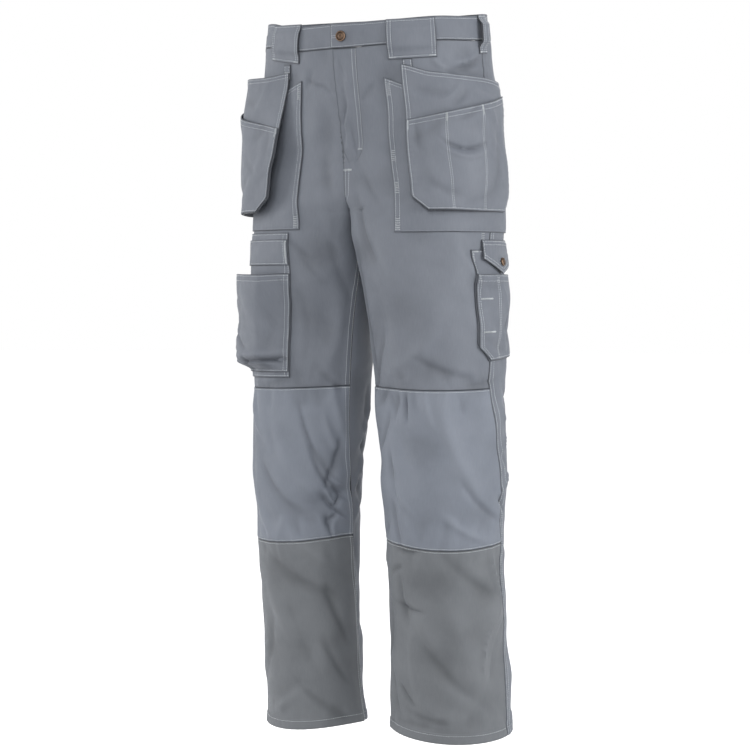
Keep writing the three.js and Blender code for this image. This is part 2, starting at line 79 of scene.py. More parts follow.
# level, side seam, inseam: degrees from the outermost line towards the front
seams = {
    "left": np.array([
        [20, 0, 160], [-240, 4, 160], [-350, 8, 166], [-530, 12, 172], [-690, -3, 176], [-860, -6, 178],
        [-1046, 0, 180],
    ], float),
    "right": np.array([
        [20, 0, 160], [-240, 4, 158], [-350, 10, 159], [-530, 10, 159], [-760, 2, 179], [-1046, 2, 190],
    ], float),
}
# row of a panel, then where its inner edge runs along the crotch: front degrees, back degrees, level
crotch = np.array([
    [-150, 90, -90, -150], [-200, 94.5, -94.5, -203], [-225, 101, -101, -230],
    [-245, 110, -114, -252], [-262, 132, -140, -268], [-278, 160, -200, -278],
], float)
# level, how far a level line dips to the front on the left and on the right
dips = np.array([[-420, 0, 0], [-530, 5, 4], [-751, 14, 10], [-900, 10, 6], [-1031, 15, 10]], float)
dipAngle = {"left": 60, "right": 70}

garment = {
    "waistTop": 8, "bandSeam": -29, "kneeTop": -529, "kneeBottom": -751, "hem": -1031, "hemTurnUp": 14,
    "panelCloth": 1.6, "patchCloth": 1.4, "bandCloth": 2.4, "seamGap": 0.3, "firstGap": 1.0, "layGap": 0.7,
    "waistTilt": 0.1, "legGap": 0.2, "thighRound": 10, "legTop": -300,
    "crotchTop": -150, "crotchLow": -278, "crotchJoined": -318, "seatLow": -262,
}

# Large folds, as on the solids: round, level, angle, length, width, height
folds = {
    "left": [
        [188, -480, 78, 150, 26, -4], [92, -400, -72, 190, 46, 4], [176, -590, 70, 110, 30, -4.5],
        [150, -640, 60, 90, 30, -3.5], [30, -610, -60, 120, 30, 3.5], [64, -905, 68, 170, 34, 4],
        [150, -860, -62, 110, 36, -3.5], [120, -1000, 30, 70, 34, 3.5], [-150, -600, 12, 130, 34, -4],
        [-140, -655, -10, 140, 36, -4.5], [-120, -330, 35, 140, 40, -4], [-160, -880, -25, 130, 40, 4],
    ],
    "right": [
        [222, -690, 25, 80, 26, -4.5], [206, -725, -35, 90, 26, -4], [84, -580, 82, 150, 34, 3.5],
        [196, -900, 58, 190, 40, 4], [150, -960, 62, 120, 34, -3.5], [205, -440, 70, 130, 34, -3.5],
        [-150, -610, -14, 130, 34, -4], [-130, -660, 10, 130, 36, -4.5], [-120, -335, -30, 140, 40, -4],
        [-150, -890, 28, 130, 40, 4],
    ],
}


def smooth(start, end, x):
    # 0 before start, 1 after end, and a soft S between them.
    t = np.clip((np.asarray(x, float) - start) / (end - start), 0, 1)
    return t * t * (3 - 2 * t)


def mix(a, b, t):
    # A straight blend from a to b.
    return a + (b - a) * t


def bell(x, wide):
    # 1 in the middle, falling as a bell to a third at the width.
    return np.exp(-(x / wide) ** 2)


def wander(x, length, drift):
    # A sine of x whose phase drifts slowly, so that no two of its waves are alike.
    return np.sin(2 * np.pi * x / length + 2 * np.sin(x / drift))


def toEdge(u, v, wide, high):
    # Distance in mm from a point of a grid to its nearest edge.
    return np.minimum(np.minimum(u, 1 - u) * wide, np.minimum(v, 1 - v) * high)


def tableCurve(rows, column, at, key=0):
    # A cubic curve through a table's rows, level at its peaks and at both ends.
    xs, ys = rows[:, key], rows[:, column]
    if xs[0] > xs[-1]:
        xs, ys = xs[::-1], ys[::-1]
    before, after = np.r_[ys[0], ys[:-1]], np.r_[ys[1:], ys[-1]]
    spanX = np.r_[xs[1:], xs[-1]] - np.r_[xs[0], xs[:-1]]
    slope = np.where((ys - before) * (after - ys) <= 0, 0, (after - before) / spanX)
    at = np.asarray(at, float)
    i = np.clip(np.searchsorted(xs, at, side="right") - 1, 0, len(xs) - 2)
    span = xs[i + 1] - xs[i]
    t = np.clip((at - xs[i]) / span, 0, 1)
    level = mix(ys[i], ys[i + 1], t * t * (3 - 2 * t))
    return level + span * (t * (1 - t) ** 2 * slope[i] - t * t * (1 - t) * slope[i + 1])


def bodyPoint(side, level, degrees, free=False):
    # An oval at each level, turned about the leg, kept clear of the mid plane by a soft ramp.
    level, degrees = np.broadcast_arrays(np.asarray(level, float), np.asarray(degrees, float))
    cx, cy, wide, front, back, turn = (tableCurve(sections[side], k, level) for k in range(1, 7))
    t = np.radians(turn)
    u = np.radians(degrees) - t
    a = wide * np.cos(u)
    b = np.where(np.sin(u) > 0, front, back) * np.sin(u)
    x = cx + a * np.cos(t) - b * np.sin(t)
    y = cy - a * np.sin(t) - b * np.cos(t)
    if not free:
        soft = mix(0.15, garment["thighRound"], smooth(-238, -300, level))
        over = (x - garment["legGap"]) / soft
        ramp = garment["legGap"] + soft * np.where(over > 30, over, np.log1p(np.exp(np.minimum(over, 30))))
        x = np.where(level < garment["crotchTop"], ramp, x)
    z = level + garment["waistTilt"] * smooth(-260, -60, level) * y
    return np.stack([x if side == "left" else -x, y, z], -1)


tableLevels = np.arange(45, -1076, -5.0)
tableDegrees = np.arange(-219, 219.5, 1.0)
tableRounds = np.arange(-420, 420.5, 2.0)
roundTable, angleTable = {}, {}
for side in sections:
    ring = bodyPoint(side, tableLevels[:, None], tableDegrees[None, :])
    steps = np.linalg.norm(np.diff(ring, axis=1), axis=2)
    sums = np.concatenate([np.zeros((len(tableLevels), 1)), np.cumsum(steps, axis=1)], axis=1)
    sums -= sums[:, [219]]
    roundTable[side] = sums
    angleTable[side] = np.array([np.interp(tableRounds, row, tableDegrees) for row in sums])


def gridValue(table, row, col):
    # Bilinear value of a table at fractional row and column numbers.
    row = np.clip(row, 0, table.shape[0] - 1.001)
    col = np.clip(col, 0, table.shape[1] - 1.001)
    r, c = row.astype(int), col.astype(int)
    fr, fc = row - r, col - c
    return mix(mix(table[r, c], table[r, c + 1], fc), mix(table[r + 1, c], table[r + 1, c + 1], fc), fr)


def roundOf(side, level, degrees):
    # Distance round the cloth in mm at an angle, read from the table of sums.
    level, degrees = np.broadcast_arrays(np.asarray(level, float), np.asarray(degrees, float))
    return gridValue(roundTable[side], (45 - level) / 5, degrees + 219)


def angleAt(side, level, around):
    # The other way: the angle at a distance round the cloth.
    level, around = np.broadcast_arrays(np.asarray(level, float), np.asarray(around, float))
    return gridValue(angleTable[side], (45 - level) / 5, (around + 420) / 2)


def bodyNormal(side, level, degrees, free=False):
    # Cross product of a small step round the body and one up it, made one long.
    across = bodyPoint(side, level, degrees + 1.5, free) - bodyPoint(side, level, degrees - 1.5, free)
    up = bodyPoint(side, level + 4, degrees, free) - bodyPoint(side, level - 4, degrees, free)
    n = np.cross(across, up) * (-1 if side == "left" else 1)
    return n / np.linalg.norm(n, axis=-1, keepdims=True)


def foldHeight(around, level, rows):
    # Each fold is a soft bar: its height fades as a bell across it and late along it. A seventh value
    # bends the bar and an eighth makes one flank steeper.
    total = np.zeros(np.broadcast(around, level).shape)
    for row in rows:
        at, height, angle, length, width, rise = row[:6]
        bend = row[6] if len(row) > 6 else 0
        lean = row[7] if len(row) > 7 else 0
        a = np.radians(angle)
        dx, dz = around - at, level - height
        lengthways = (dx * np.cos(a) + dz * np.sin(a)) / (length / 2)
        crossways = (dz * np.cos(a) - dx * np.sin(a) - bend * lengthways ** 2) / (width / 2)
        total += rise * np.exp(-(lengthways ** 4) - crossways ** 2) * (1 + lean * np.tanh(2 * crossways))
    return total


# Creases that only the looks carry, each placed one by one: round, level, angle, length, width, height,
# then how far it bends and how steep one flank is. The ones at the back follow those at the front.
creases = {
    "left": [
        [225, -107, -68, 72, 11, -1.8], [224, -176, 84, 55, 9, -1.6], [192, -95, -48, 34, 8, -1.6],
        [72, -60, 44, 20, 7, -1.4], [10, -79, 12, 57, 8, -1.6], [222, -306, 72, 97, 13, -2.4, 5, 0.4],
        [235, -456, 78, 122, 14, -2.6, 6, -0.4], [207, -498, -67, 90, 12, -2.8, 4, 0.4],
        [50, -412, 67, 194, 32, 2.6, 8], [83, -619, 68, 177, 30, 3.0, 10, 0.3],
        [-6, -618, 82, 176, 24, 3.0, 6], [21, -903, -67, 123, 22, 2.8, 6],
        [181, -658, 73, 82, 12, -2.8, 4, 0.5], [171, -729, 74, 69, 10, -2.6, 3],
        [164, -835, 81, 77, 10, -2.4, 3, 0.4], [190, -973, 79, 68, 10, -2.2, 3],
        [150, -1020, 4, 70, 9, -1.6], [59, -808, 38, 111, 22, -2.4, 8, 0.4],
        [97, -937, 51, 127, 24, -2.6, 8, -0.4], [128, -880, 66, 120, 20, 2.2, 6],
        [196, -596, -62, 60, 10, -2.4, 4, 0.4], [160, -690, 52, 74, 12, 2.2, 4],
        [118, -560, 78, 60, 12, 1.8, 3], [40, -700, 40, 84, 13, -2.2, 6, 0.5],
        [62, -736, 30, 70, 12, 2.0, 4], [170, -560, -76, 44, 9, -2.2, 2], [150, -930, 86, 90, 12, 1.8, 4],
        [60, -985, -58, 90, 16, 1.8, 5], [196, -890, -70, 70, 11, -1.8, 4],
        [243, -380, 80, 90, 14, -2.0, 4], [180, -350, 64, 80, 18, 1.8, 6], [200, -250, 60, 70, 14, -1.6, 4],
        [96, -508, 20, 90, 12, -1.8, 5, 0.4], [30, -525, -10, 60, 10, -1.6, 3],
        [151, -559, 88, 44, 6, -3.2, 1, 0.5], [158, -560, 88, 42, 8, 1.8], [200, -545, -40, 40, 8, -1.8],
        [79, -61, 36, 28, 9, 3.0, 2], [34, -56, -15, 46, 9, 3.0, 3], [36, -66, -15, 46, 8, -2.4, 3],
        [66, -72, 30, 30, 8, -2.2, 2], [11, -798, 74, 72, 8, 3.0, 3, 0.4],
        [30, -895, -69, 104, 8, 3.4, -9, 0.5], [19, -905, -69, 92, 9, -2.2, -8],
        [-8, -575, 60, 30, 7, 2.8, 2], [-14, -610, -50, 34, 7, 3.0, 2], [-10, -640, 55, 30, 7, -2.8, 2],
        [-12, -668, -60, 34, 7, 2.8], [-8, -700, 50, 30, 7, -2.6], [152, -768, 8, 50, 8, -2.6, 3, 0.5],
        [172, -795, -25, 28, 8, -2.6, 0, 0.4], [150, -853, 15, 52, 8, -2.8, 3, 0.5],
        [162, -980, 45, 42, 8, -2.8, 3, 0.5], [125, -1012, 12, 60, 8, -2.2, 3],
        [60, -350, 58, 70, 16, 2.4, 5], [42, -372, 62, 50, 10, 2.6, 3], [130, -480, -40, 90, 22, 2.2, 8],
        [-60, -560, 20, 110, 16, -2.6, 10, 0.4], [-110, -585, -12, 130, 15, -3.0, -10, 0.4],
        [-150, -625, 8, 150, 16, -3.2, 9, -0.4], [-95, -640, 24, 90, 14, 2.4, 6],
        [-175, -680, -16, 110, 14, -2.6, 8], [-100, -700, -26, 120, 18, 2.2, 8],
        [-60, -740, -48, 120, 16, -2.0, 8], [-190, -560, -30, 80, 14, -2.4, 6],
        [-150, -800, 52, 150, 20, -2.2, 8, 0.3], [-90, -880, -60, 170, 24, 2.4, 8],
        [-200, -860, -66, 130, 18, -2.0, 6], [-120, -985, 34, 110, 14, -2.0, 6],
        [-60, -1000, -30, 80, 12, 1.8, 4], [-180, -1010, 18, 70, 10, -1.6, 3],
        [-110, -405, 58, 170, 26, 2.2, 10], [-170, -450, -62, 150, 22, -2.4, 8],
        [-60, -470, -54, 120, 20, 2.0, 6], [-215, -330, 62, 120, 16, -2.6, 8, 0.4],
        [-195, -290, 48, 110, 14, -2.6, 8, 0.4], [-235, -380, 74, 110, 16, -2.2, 6],
        [-150, -262, 18, 120, 18, -2.2, 9], [-110, -150, -18, 110, 22, 1.8, 6],
        [-170, -120, 30, 90, 16, -1.6, 5], [-210, -80, 70, 60, 12, -1.4, 3],
        [-60, -70, 60, 44, 10, -1.4, 3], [-140, -60, 84, 40, 9, -1.3, 2],
    ],
    "right": [
        [207, -81, -21, 32, 7, -2.0, 2], [233, -94, -33, 33, 7, -2.0, 2], [196, -72, 70, 30, 8, -1.4],
        [223, -683, -44, 50, 10, -3.4, 3, 0.5], [218, -712, -42, 55, 10, -3.2, 3, 0.5],
        [210, -650, -58, 60, 11, -2.2, 4], [105, -582, -79, 99, 22, 2.6, 6],
        [206, -868, -69, 94, 13, -2.4, 4, 0.4], [201, -936, -60, 79, 12, -2.2, 4],
        [247, -349, -82, 128, 15, -1.2, 5], [184, -444, 89, 143, 16, -1.2, 6, 0.4],
        [41, -960, -90, 106, 14, -2.0, 3], [148, -818, -29, 133, 20, -2.6, 8, 0.4],
        [185, -1003, -31, 102, 13, -2.0, 5], [130, -691, -45, 114, 20, -2.6, 8, 0.4],
        [150, -640, -60, 110, 22, 2.4, 8], [70, -640, 78, 120, 20, -2.2, 6],
        [88, -720, -62, 90, 18, 2.0, 5], [168, -768, -40, 90, 16, 2.2, 5],
        [110, -860, -58, 130, 24, 2.4, 8], [80, -930, 70, 120, 22, -2.2, 6],
        [150, -905, -66, 120, 18, -1.8, 6], [120, -1000, 30, 80, 13, 1.8, 4],
        [225, -560, -76, 90, 14, 2.2, 4], [222, -470, 72, 120, 18, 1.4, 6],
        [205, -360, -60, 70, 13, -1.2, 4, 0.5], [190, -330, -40, 50, 10, -1.2, 3],
        [232, -290, -66, 80, 14, 1.8, 4], [215, -520, -40, 60, 11, -2.2, 4],
        [120, -528, 12, 70, 11, -1.6, 4], [222, -220, -74, 70, 14, -1.5, 4],
        [205, -140, 80, 90, 18, 1.4, 5], [214, -668, 70, 26, 6, -3.0, 1, 0.4],
        [226, -672, -30, 30, 7, 2.6, 1], [213, -694, -60, 28, 6, 3.0, 1], [226, -700, 50, 26, 6, -3.0, 1],
        [228, -722, -35, 30, 7, 2.6, 1], [214, -726, 40, 26, 6, -2.8, 1, 0.4],
        [180, -600, -70, 90, 9, -2.6, 4, 0.5], [196, -650, -66, 70, 9, -2.6, 3, 0.5],
        [88, -575, -68, 60, 9, 2.6, 3], [207, -738, -80, 34, 7, -2.8, 1, 0.4],
        [228, -640, 70, 60, 12, -2.6, 4, 0.4], [216, -600, -66, 60, 12, 2.2, 4],
        [-262, -560, -80, 60, 14, -2.6, 4], [-258, -590, 62, 70, 14, 3.4, 5],
        [-254, -625, -58, 70, 13, -3.4, 5, 0.4], [-258, -655, 64, 70, 13, 3.4, 5],
        [-252, -690, -60, 60, 12, -3.2, 4, 0.4], [-256, -720, 70, 60, 12, 2.8, 4],
        [-250, -770, -72, 80, 14, -2.4, 4], [-248, -840, 80, 100, 14, 2.4, 4],
        [-60, -565, -18, 110, 16, -2.6, -10, 0.4], [-115, -590, 12, 130, 15, -3.0, 10, 0.4],
        [-150, -632, -8, 150, 16, -3.2, -9, -0.4], [-95, -645, -24, 90, 14, 2.4, -6],
        [-175, -690, 16, 110, 14, -2.6, -8], [-105, -705, 28, 120, 18, 2.2, 8],
        [-60, -745, 46, 120, 16, -2.0, 8], [-195, -570, 30, 80, 14, -2.4, 6],
        [-150, -810, -52, 150, 20, -2.2, 8, 0.3], [-90, -890, 62, 170, 24, 2.4, 8],
        [-205, -870, 64, 130, 18, -2.0, 6], [-125, -985, -36, 110, 14, -2.0, 6],
        [-60, -1000, 28, 80, 12, 1.8, 4], [-185, -1010, -16, 70, 10, -1.6, 3],
        [-110, -410, -58, 170, 26, 2.2, 10], [-170, -455, 60, 150, 22, -2.4, 8],
        [-60, -475, 52, 120, 20, 2.0, 6], [-215, -335, -60, 120, 16, -2.6, 8, 0.4],
        [-195, -292, -46, 110, 14, -2.6, 8, 0.4], [-235, -385, -72, 110, 16, -2.2, 6],
        [-150, -266, -16, 120, 18, -2.2, -9], [-112, -155, 20, 110, 22, 1.8, 6],
        [-168, -122, -28, 90, 16, -1.6, 5], [-208, -84, -72, 60, 12, -1.4, 3],
        [-64, -72, -58, 44, 10, -1.4, 3], [-138, -62, -84, 40, 9, -1.3, 2],
    ],
}

# The cloth is never quite even: a dozen low waves of many lengths and directions, in mm
unevenness = {
    "lengths": rng.uniform(34, 110, 12), "turns": rng.uniform(0, np.pi, 12),
    "phases": rng.uniform(0, 6.28, 12), "height": 0.3,
}


def puckers(level, start, end, count, reach, rise):
    # Short folds that run away from a cross seam, each at its own place, slant and size.
    at = np.linspace(start, end, count) + rng.uniform(-9, 9, count)
    slant = 90 + rng.uniform(-30, 30, count)
    size = rng.uniform(0.5, 1.3, count)
    height = rise * rng.uniform(0.5, 1.2, count) * np.where(rng.uniform(size=count) < 0.6, -1, 1)
    rows = [at, level + rng.uniform(-5, 5, count), slant, reach * size, 6 + 6 * size, height]
    return np.stack(rows, 1).tolist()


# Beside the knee seams, above the hem and under the waistband: level, from, to, count, reach, height
puckerRows = [
    [-549, 14, 215, 11, 34, 1.1], [-515, 20, 210, 9, 28, 1.0], [-740, 14, 215, 11, 36, 1.2],
    [-776, 20, 210, 9, 30, 1.0], [-1012, 10, 215, 9, 26, 0.9], [-1012, -210, -10, 9, 26, 0.9],
    [-44, -215, 60, 9, 22, 0.8],
]
for side in ("left", "right"):
    for row in puckerRows:
        creases[side] += puckers(*row)
creaseStrength = 1.4


def creaseHeight(side, around, level, degrees, x):
    # Listed creases and low waves, dying out at the mid plane and at the inseam, so both sides meet.
    seam = tableCurve(seams[side], 2, level)
    away = np.minimum(np.abs(degrees - seam), np.abs(degrees + 360 - seam))
    fade = smooth(2, 16, np.abs(x)) * mix(1, smooth(0.5, 9, away), smooth(-225, -290, level))
    total = creaseStrength * foldHeight(around, level, creases[side])
    for length, turn, phase in zip(unevenness["lengths"], unevenness["turns"], unevenness["phases"]):
        run = around * np.cos(turn) + level * np.sin(turn)
        total = total + unevenness["height"] * length / 70 * np.sin(2 * np.pi * run / length + phase)
    return total * fade


midSeam = {"shift": 10, "wide": 55, "from": -20, "full": -230, "low": -268, "to": -318}


def midShift(point):
    # The seam below the fly wanders to the left by a few mm, taking the cloth of both legs with it.
    level = point[..., 2]
    starts = smooth(midSeam["from"], midSeam["full"], level)
    along = starts * (1 - smooth(midSeam["low"], midSeam["to"], level))
    front = smooth(0, -60, point[..., 1])
    return midSeam["shift"] * along * front * bell(point[..., 0], midSeam["wide"])


def onCloth(side, around, level, out=0.0, crease=1.0):
    # The body's point at a distance round the cloth, moved out along its normal by the folds and by out.
    around, level = np.broadcast_arrays(np.asarray(around, float), np.asarray(level, float))
    degrees = angleAt(side, level, around)
    point = bodyPoint(side, level, degrees)
    normal = bodyNormal(side, level, degrees)
    height = foldHeight(around, level, folds[side]) * smooth(2, 16, np.abs(point[..., 0]))
    height = height + crease * creaseHeight(side, around, level, degrees, point[..., 0])
    point = point + normal * (height + out)[..., None]
    point[..., 0] += midShift(point)
    return point, normal


def lineLevel(side, level, around):
    # The knee seams and the hem dip to the front by a cosine bell.
    degrees = angleAt(side, level, around)
    away = degrees - dipAngle[side]
    near = np.where(np.abs(away) < 105, np.cos(np.radians(0.85 * away)) ** 2, 0)
    column = 1 if side == "left" else 2
    return level - np.where(level < -420, near * tableCurve(dips, column, level), 0)


# Waist line and the seam under the waistband: angle, level, how far the two stand from their usual levels
waistLines = {
    "left": np.array([
        [-90, 0, 0], [-40, 1, 0], [-3, -2, -1], [15, -1, 1], [38, 2, 4], [64, 0, 2], [90, -1, 0],
    ], float),
    "right": np.array([[-90, 0, 0], [-40, 1, 0], [0, 0, 1], [38, 4, 6], [69, -3, -2], [90, -1, 0]], float),
}


def seamShift(side, level, degrees):
    # How far the seam under the waistband pulls the cloth up or down, fading over 60 mm.
    return tableCurve(waistLines[side], 2, degrees) * smooth(-92, -32, level)


# Grids, walls and sewing

def shares(length, step, lip=0.0, rows=()):
    # Even steps along a length in mm, with closer ones at both ends and beside each sewn row.
    ends = np.array([0.12, 0.45, 1.0]) * lip
    sewn = np.array([[r - 1, r, r + 1] for r in rows]).ravel()
    sewn = np.where(sewn < 0, length + sewn, sewn)
    marks = np.r_[np.linspace(0, length, max(2, int(length / step)) + 1), ends, length - ends, sewn]
    marks = np.sort(marks[(marks >= 0) & (marks <= length)])
    marks = marks[np.r_[True, np.diff(marks) > 0.1]]
    marks[-1] = length
    return marks


def stretch(marks, length):
    # Shares of a length that keep each mark's distance in mm from the nearer end.
    usual = marks.max()
    return mix(marks / length, 1 - (usual - marks) / length, smooth(0.25, 0.75, marks / usual))


def surface(place):
    # A surface from a function of two parameters from 0 to 1, with normals from its own slopes.
    def at(u, v, out=0.0):
        # The point moved out along the cross product of the two slopes.
        u, v = np.broadcast_arrays(np.asarray(u, float), np.asarray(v, float))
        near = 0.004
        point, facing, around, level = place(u, v)
        across = place(np.minimum(u + near, 1), v)[0] - place(np.maximum(u - near, 0), v)[0]
        down = place(u, np.minimum(v + near, 1))[0] - place(u, np.maximum(v - near, 0))[0]
        normal = np.cross(across, down)
        normal = normal * np.where(np.sum(normal * facing, -1, keepdims=True) < 0, -1, 1)
        normal = normal / np.linalg.norm(normal, axis=-1, keepdims=True)
        return point + normal * np.asarray(out, float)[..., None], normal, around, level
    return at


def quads(index):
    # Four-cornered faces between the neighbours in a grid of point numbers.
    return np.stack([index[:-1, :-1], index[1:, :-1], index[1:, 1:], index[:-1, 1:]], -1).reshape(-1, 4)


def addObject(name, data):
    # An object that shows a mesh, a light or a camera, linked to the scene.
    thing = bpy.data.objects.new(name, data)
    bpy.context.scene.collection.objects.link(thing)
    return thing


def makeMesh(name, points, faces, finish, uv=None, wearAndHighlight=None, shade=None):
    # Points in mm and four-cornered faces become a smooth object in metres, turned outwards by its volume.
    a, b, c, d = (points[faces[:, k]] for k in range(4))
    volume = np.sum(a * np.cross(b, c)) + np.sum(a * np.cross(c, d))
    if volume < 0:
        faces = faces[:, ::-1]
    mesh = bpy.data.meshes.new(name)
    mesh.vertices.add(len(points))
    mesh.vertices.foreach_set("co", (points * 0.001).astype(np.float32).ravel())
    mesh.loops.add(faces.size)
    mesh.loops.foreach_set("vertex_index", faces.astype(np.int32).ravel())
    mesh.polygons.add(len(faces))
    mesh.polygons.foreach_set("loop_start", np.arange(0, faces.size, 4, dtype=np.int32))
    mesh.update(calc_edges=True)
    if uv is not None:
        layer = mesh.uv_layers.new(name="cloth")
        layer.data.foreach_set("uv", (uv[faces.ravel()] * 0.001).astype(np.float32).ravel())
    for label, values in (("wearAndHighlight", wearAndHighlight), ("shade", shade)):
        if values is not None:
            attribute = mesh.attributes.new(label, "FLOAT", "POINT")
            attribute.data.foreach_set("value", values.astype(np.float32).ravel())
    mesh.validate()
    mesh.shade_smooth()
    mesh.set_sharp_from_angle(angle=np.radians(50))
    mesh.materials.append(finish)
    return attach(addObject(name, mesh), "root")


def wallPiece(node, grid, thick, edge, lip, finish, ridge=0.0, rim=0.8):
    # An outer grid, the same grid moved in along its normals, and a border between them. The outer face
    # rounds down over the last few tenths of a millimetre before its edges.
    point, normal, around, level = grid
    rest = 1 - np.clip(edge / lip, 0, 1)
    point = point - normal * (lip * (1 - np.sqrt(1 - 0.98 * rest ** 2)))[..., None]
    thick = np.broadcast_to(thick, edge.shape)
    inside = point - normal * (thick - 0.5 * lip * rest)[..., None]
    count = edge.size
    outer = np.arange(count).reshape(edge.shape)
    ring = np.concatenate([outer[0, :-1], outer[:-1, -1], outer[-1, :0:-1], outer[:0:-1, 0]])
    border = np.stack([ring, np.roll(ring, -1), np.roll(ring, -1) + count, ring + count], -1)
    faces = np.concatenate([quads(outer), quads(outer + count)[:, ::-1], border])
    points = np.concatenate([point.reshape(-1, 3), inside.reshape(-1, 3)])
    uv = np.tile(np.stack([around, level], -1).reshape(-1, 2), (2, 1))
    # Paler towards the edges for wear, and a painted highlight that grows with the height of each crease
    # ridge.
    wornAndHighlight = bell(edge - 1.2, 0.6) * 0.25 + np.clip(ridge, 0, 4) * 0.05 + 0 * edge
    # Painted shade: darker in crease troughs and in a narrow band along every edge of the outer face, where
    # the shadow between pieces falls; the inner face is darker along its edges too.
    hollow = np.clip(-np.asarray(ridge, float), 0, 4) * 0.09 + 0 * edge
    shade = np.r_[(hollow + 0.9 * bell(edge, rim)).ravel(), (0.9 * bell(edge, 1.5)).ravel()]
    shade = np.clip(shade, 0, 0.92)
    piece = makeMesh(node + "_cloth", points, faces, finish, uv, np.tile(wornAndHighlight.ravel(), 2), shade)
    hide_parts(node)
    return piece


threads = {}
stitchRise, tackRise = 0.05, 0.25


def sew(group, at, first, second, pitch=3.3, loose=0.12):
    # Stitches along a line on a surface: each runs from one hole to the next, its ends sunk in the cloth.
    points, normals = at(first, second, stitchRise)[:2]
    steps = np.linalg.norm(np.diff(points, axis=0), axis=1)
    run = np.r_[0, np.cumsum(steps)]
    count = max(1, int(run[-1] / pitch))
    middle = (np.arange(count) + 0.5) * run[-1] / count
    half = 0.37 * run[-1] / count
    reach = np.stack([middle - half, middle, middle + half])
    holes = np.stack([np.interp(reach, run, points[:, k]) for k in range(3)], -1)
    up = np.stack([np.interp(middle, run, normals[:, k]) for k in range(3)], -1)
    along = holes[2] - holes[0]
    side = np.cross(up, along)
    side = side / np.linalg.norm(side, axis=-1, keepdims=True)
    holes = holes + side * rng.normal(0, loose, (1, count, 1))
    threads.setdefault(group, []).append((holes, up, side))


def tack(group, at, start, end, wide=2.4, pitch=0.9):
    # A bar tack: close short stitches across the line from start to end, both in the surface's parameters.
    ends = at(np.array([start[0], end[0]]), np.array([start[1], end[1]]))[0]
    length = np.linalg.norm(ends[1] - ends[0])
    count = max(4, int(length / pitch))
    share = np.linspace(0, 1, count)
    point, up = at(mix(start[0], end[0], share), mix(start[1], end[1], share), tackRise)[:2]
    line = np.broadcast_to((ends[1] - ends[0]) / length, point.shape)
    across = np.cross(up, line) * wide / 2
    stitches = np.stack([point - across, point + up * 0.25, point + across])
    threads.setdefault(group, []).append((stitches, up, line))


def threadPiece(group, finish, radius=0.42):
    # Each stitch is three small diamonds joined into a spindle, sunk at its ends.
    at = np.concatenate([row[0] for row in threads[group]], axis=1)
    up, side = (np.concatenate([row[k] for row in threads[group]]) for k in (1, 2))
    count = at.shape[1]
    widths = np.array([0.45, 1.0, 0.45])[:, None, None]
    lifts = np.array([-0.25, 0.2, -0.25])[:, None, None]
    turns = np.radians([0, 90, 180, 270])
    centre = at + up * lifts
    rings = [centre + radius * widths * (side * np.cos(t) + up * np.sin(t)) for t in turns]
    points = np.stack(rings, 2).transpose(1, 0, 2, 3).reshape(-1, 3)
    ring = np.arange(4)
    after = (ring + 1) % 4
    walls = [np.stack([k + ring, k + after, k + 4 + after, k + 4 + ring], -1) for k in (0, 4)]
    one = np.concatenate(walls + [np.array([[3, 2, 1, 0], [8, 9, 10, 11]])])
    faces = (one[None] + 12 * np.arange(count)[:, None, None]).reshape(-1, 4)
    piece = makeMesh("sewing_" + group, points, faces, finish)
    return piece


print("stage 1 of 6: body, creases and grids ready")


# Finishes

def setInputs(tree, node, inputs):
    # A socket is linked to the input, and anything else becomes the input's own value.
    for key, value in inputs.items():
        if isinstance(value, bpy.types.NodeSocket):
            tree.links.new(value, node.inputs[key])
        else:
            node.inputs[key].default_value = value


def addNode(tree, kind, inputs, **settings):
    # A node with its settings and its inputs.
    node = tree.nodes.new(kind)
    for key, value in settings.items():
        setattr(node, key, value)
    setInputs(tree, node, inputs)
    return node


def newFinish(name):
    # An empty material, its tree and its shader.
    material = bpy.data.materials.new(name)
    material.use_nodes = True
    return material, material.node_tree, material.node_tree.nodes["Principled BSDF"]


def placeOn(tree):
    # The place of a point in metres, which a pattern in the round reads.
    return addNode(tree, "ShaderNodeTexCoord", {}).outputs["Object"]


def opaque(colour, share=1):
    # A colour times a share, with full cover.
    return (*(share * c for c in colour), 1)


def mixColour(tree, factor, a, b):
    # Two colours mixed by a factor.
    return addNode(tree, "ShaderNodeMix", {0: factor, 6: a, 7: b}, data_type="RGBA").outputs[2]


def remap(tree, value, low, high, newLow, newHigh):
    # A value moved from one range to another in a straight line, and kept inside it.
    inputs = {"Value": value, "From Min": low, "From Max": high, "To Min": newLow, "To Max": newHigh}
    return addNode(tree, "ShaderNodeMapRange", inputs).outputs[0]


def noise(tree, vector, scale, detail):
    # Cloudy noise from 0 to 1.
    inputs = {"Vector": vector, "Scale": scale, "Detail": detail}
    return addNode(tree, "ShaderNodeTexNoise", inputs).outputs["Fac"]


def bands(tree, vector, scale, direction, distortion=0.0):
    # Sine bands across a direction, bent by a fine noise.
    inputs = {"Vector": vector, "Scale": scale, "Distortion": distortion, "Detail": 1.0, "Detail Scale": 2.0}
    return addNode(tree, "ShaderNodeTexWave", inputs, bands_direction=direction).outputs["Fac"]


def times(tree, a, b, kind="ShaderNodeMath"):
    # The product of two values, or of two vectors.
    return addNode(tree, kind, {0: a, 1: b}, operation="MULTIPLY")


def painted(tree, name):
    # A value that the mesh carries at its points.
    node = addNode(tree, "ShaderNodeAttribute", {}, attribute_name=name, attribute_type="GEOMETRY")
    return node.outputs["Fac"]


def roughen(tree, shader, *layers):
    # Bumps one on another, each a height, a strength and a distance in metres.
    below = {}
    for height, strength, distance in layers:
        inputs = {"Height": height, "Strength": strength, "Distance": distance, **below}
        below = {"Normal": addNode(tree, "ShaderNodeBump", inputs).outputs[0]}
    setInputs(tree, shader, below)


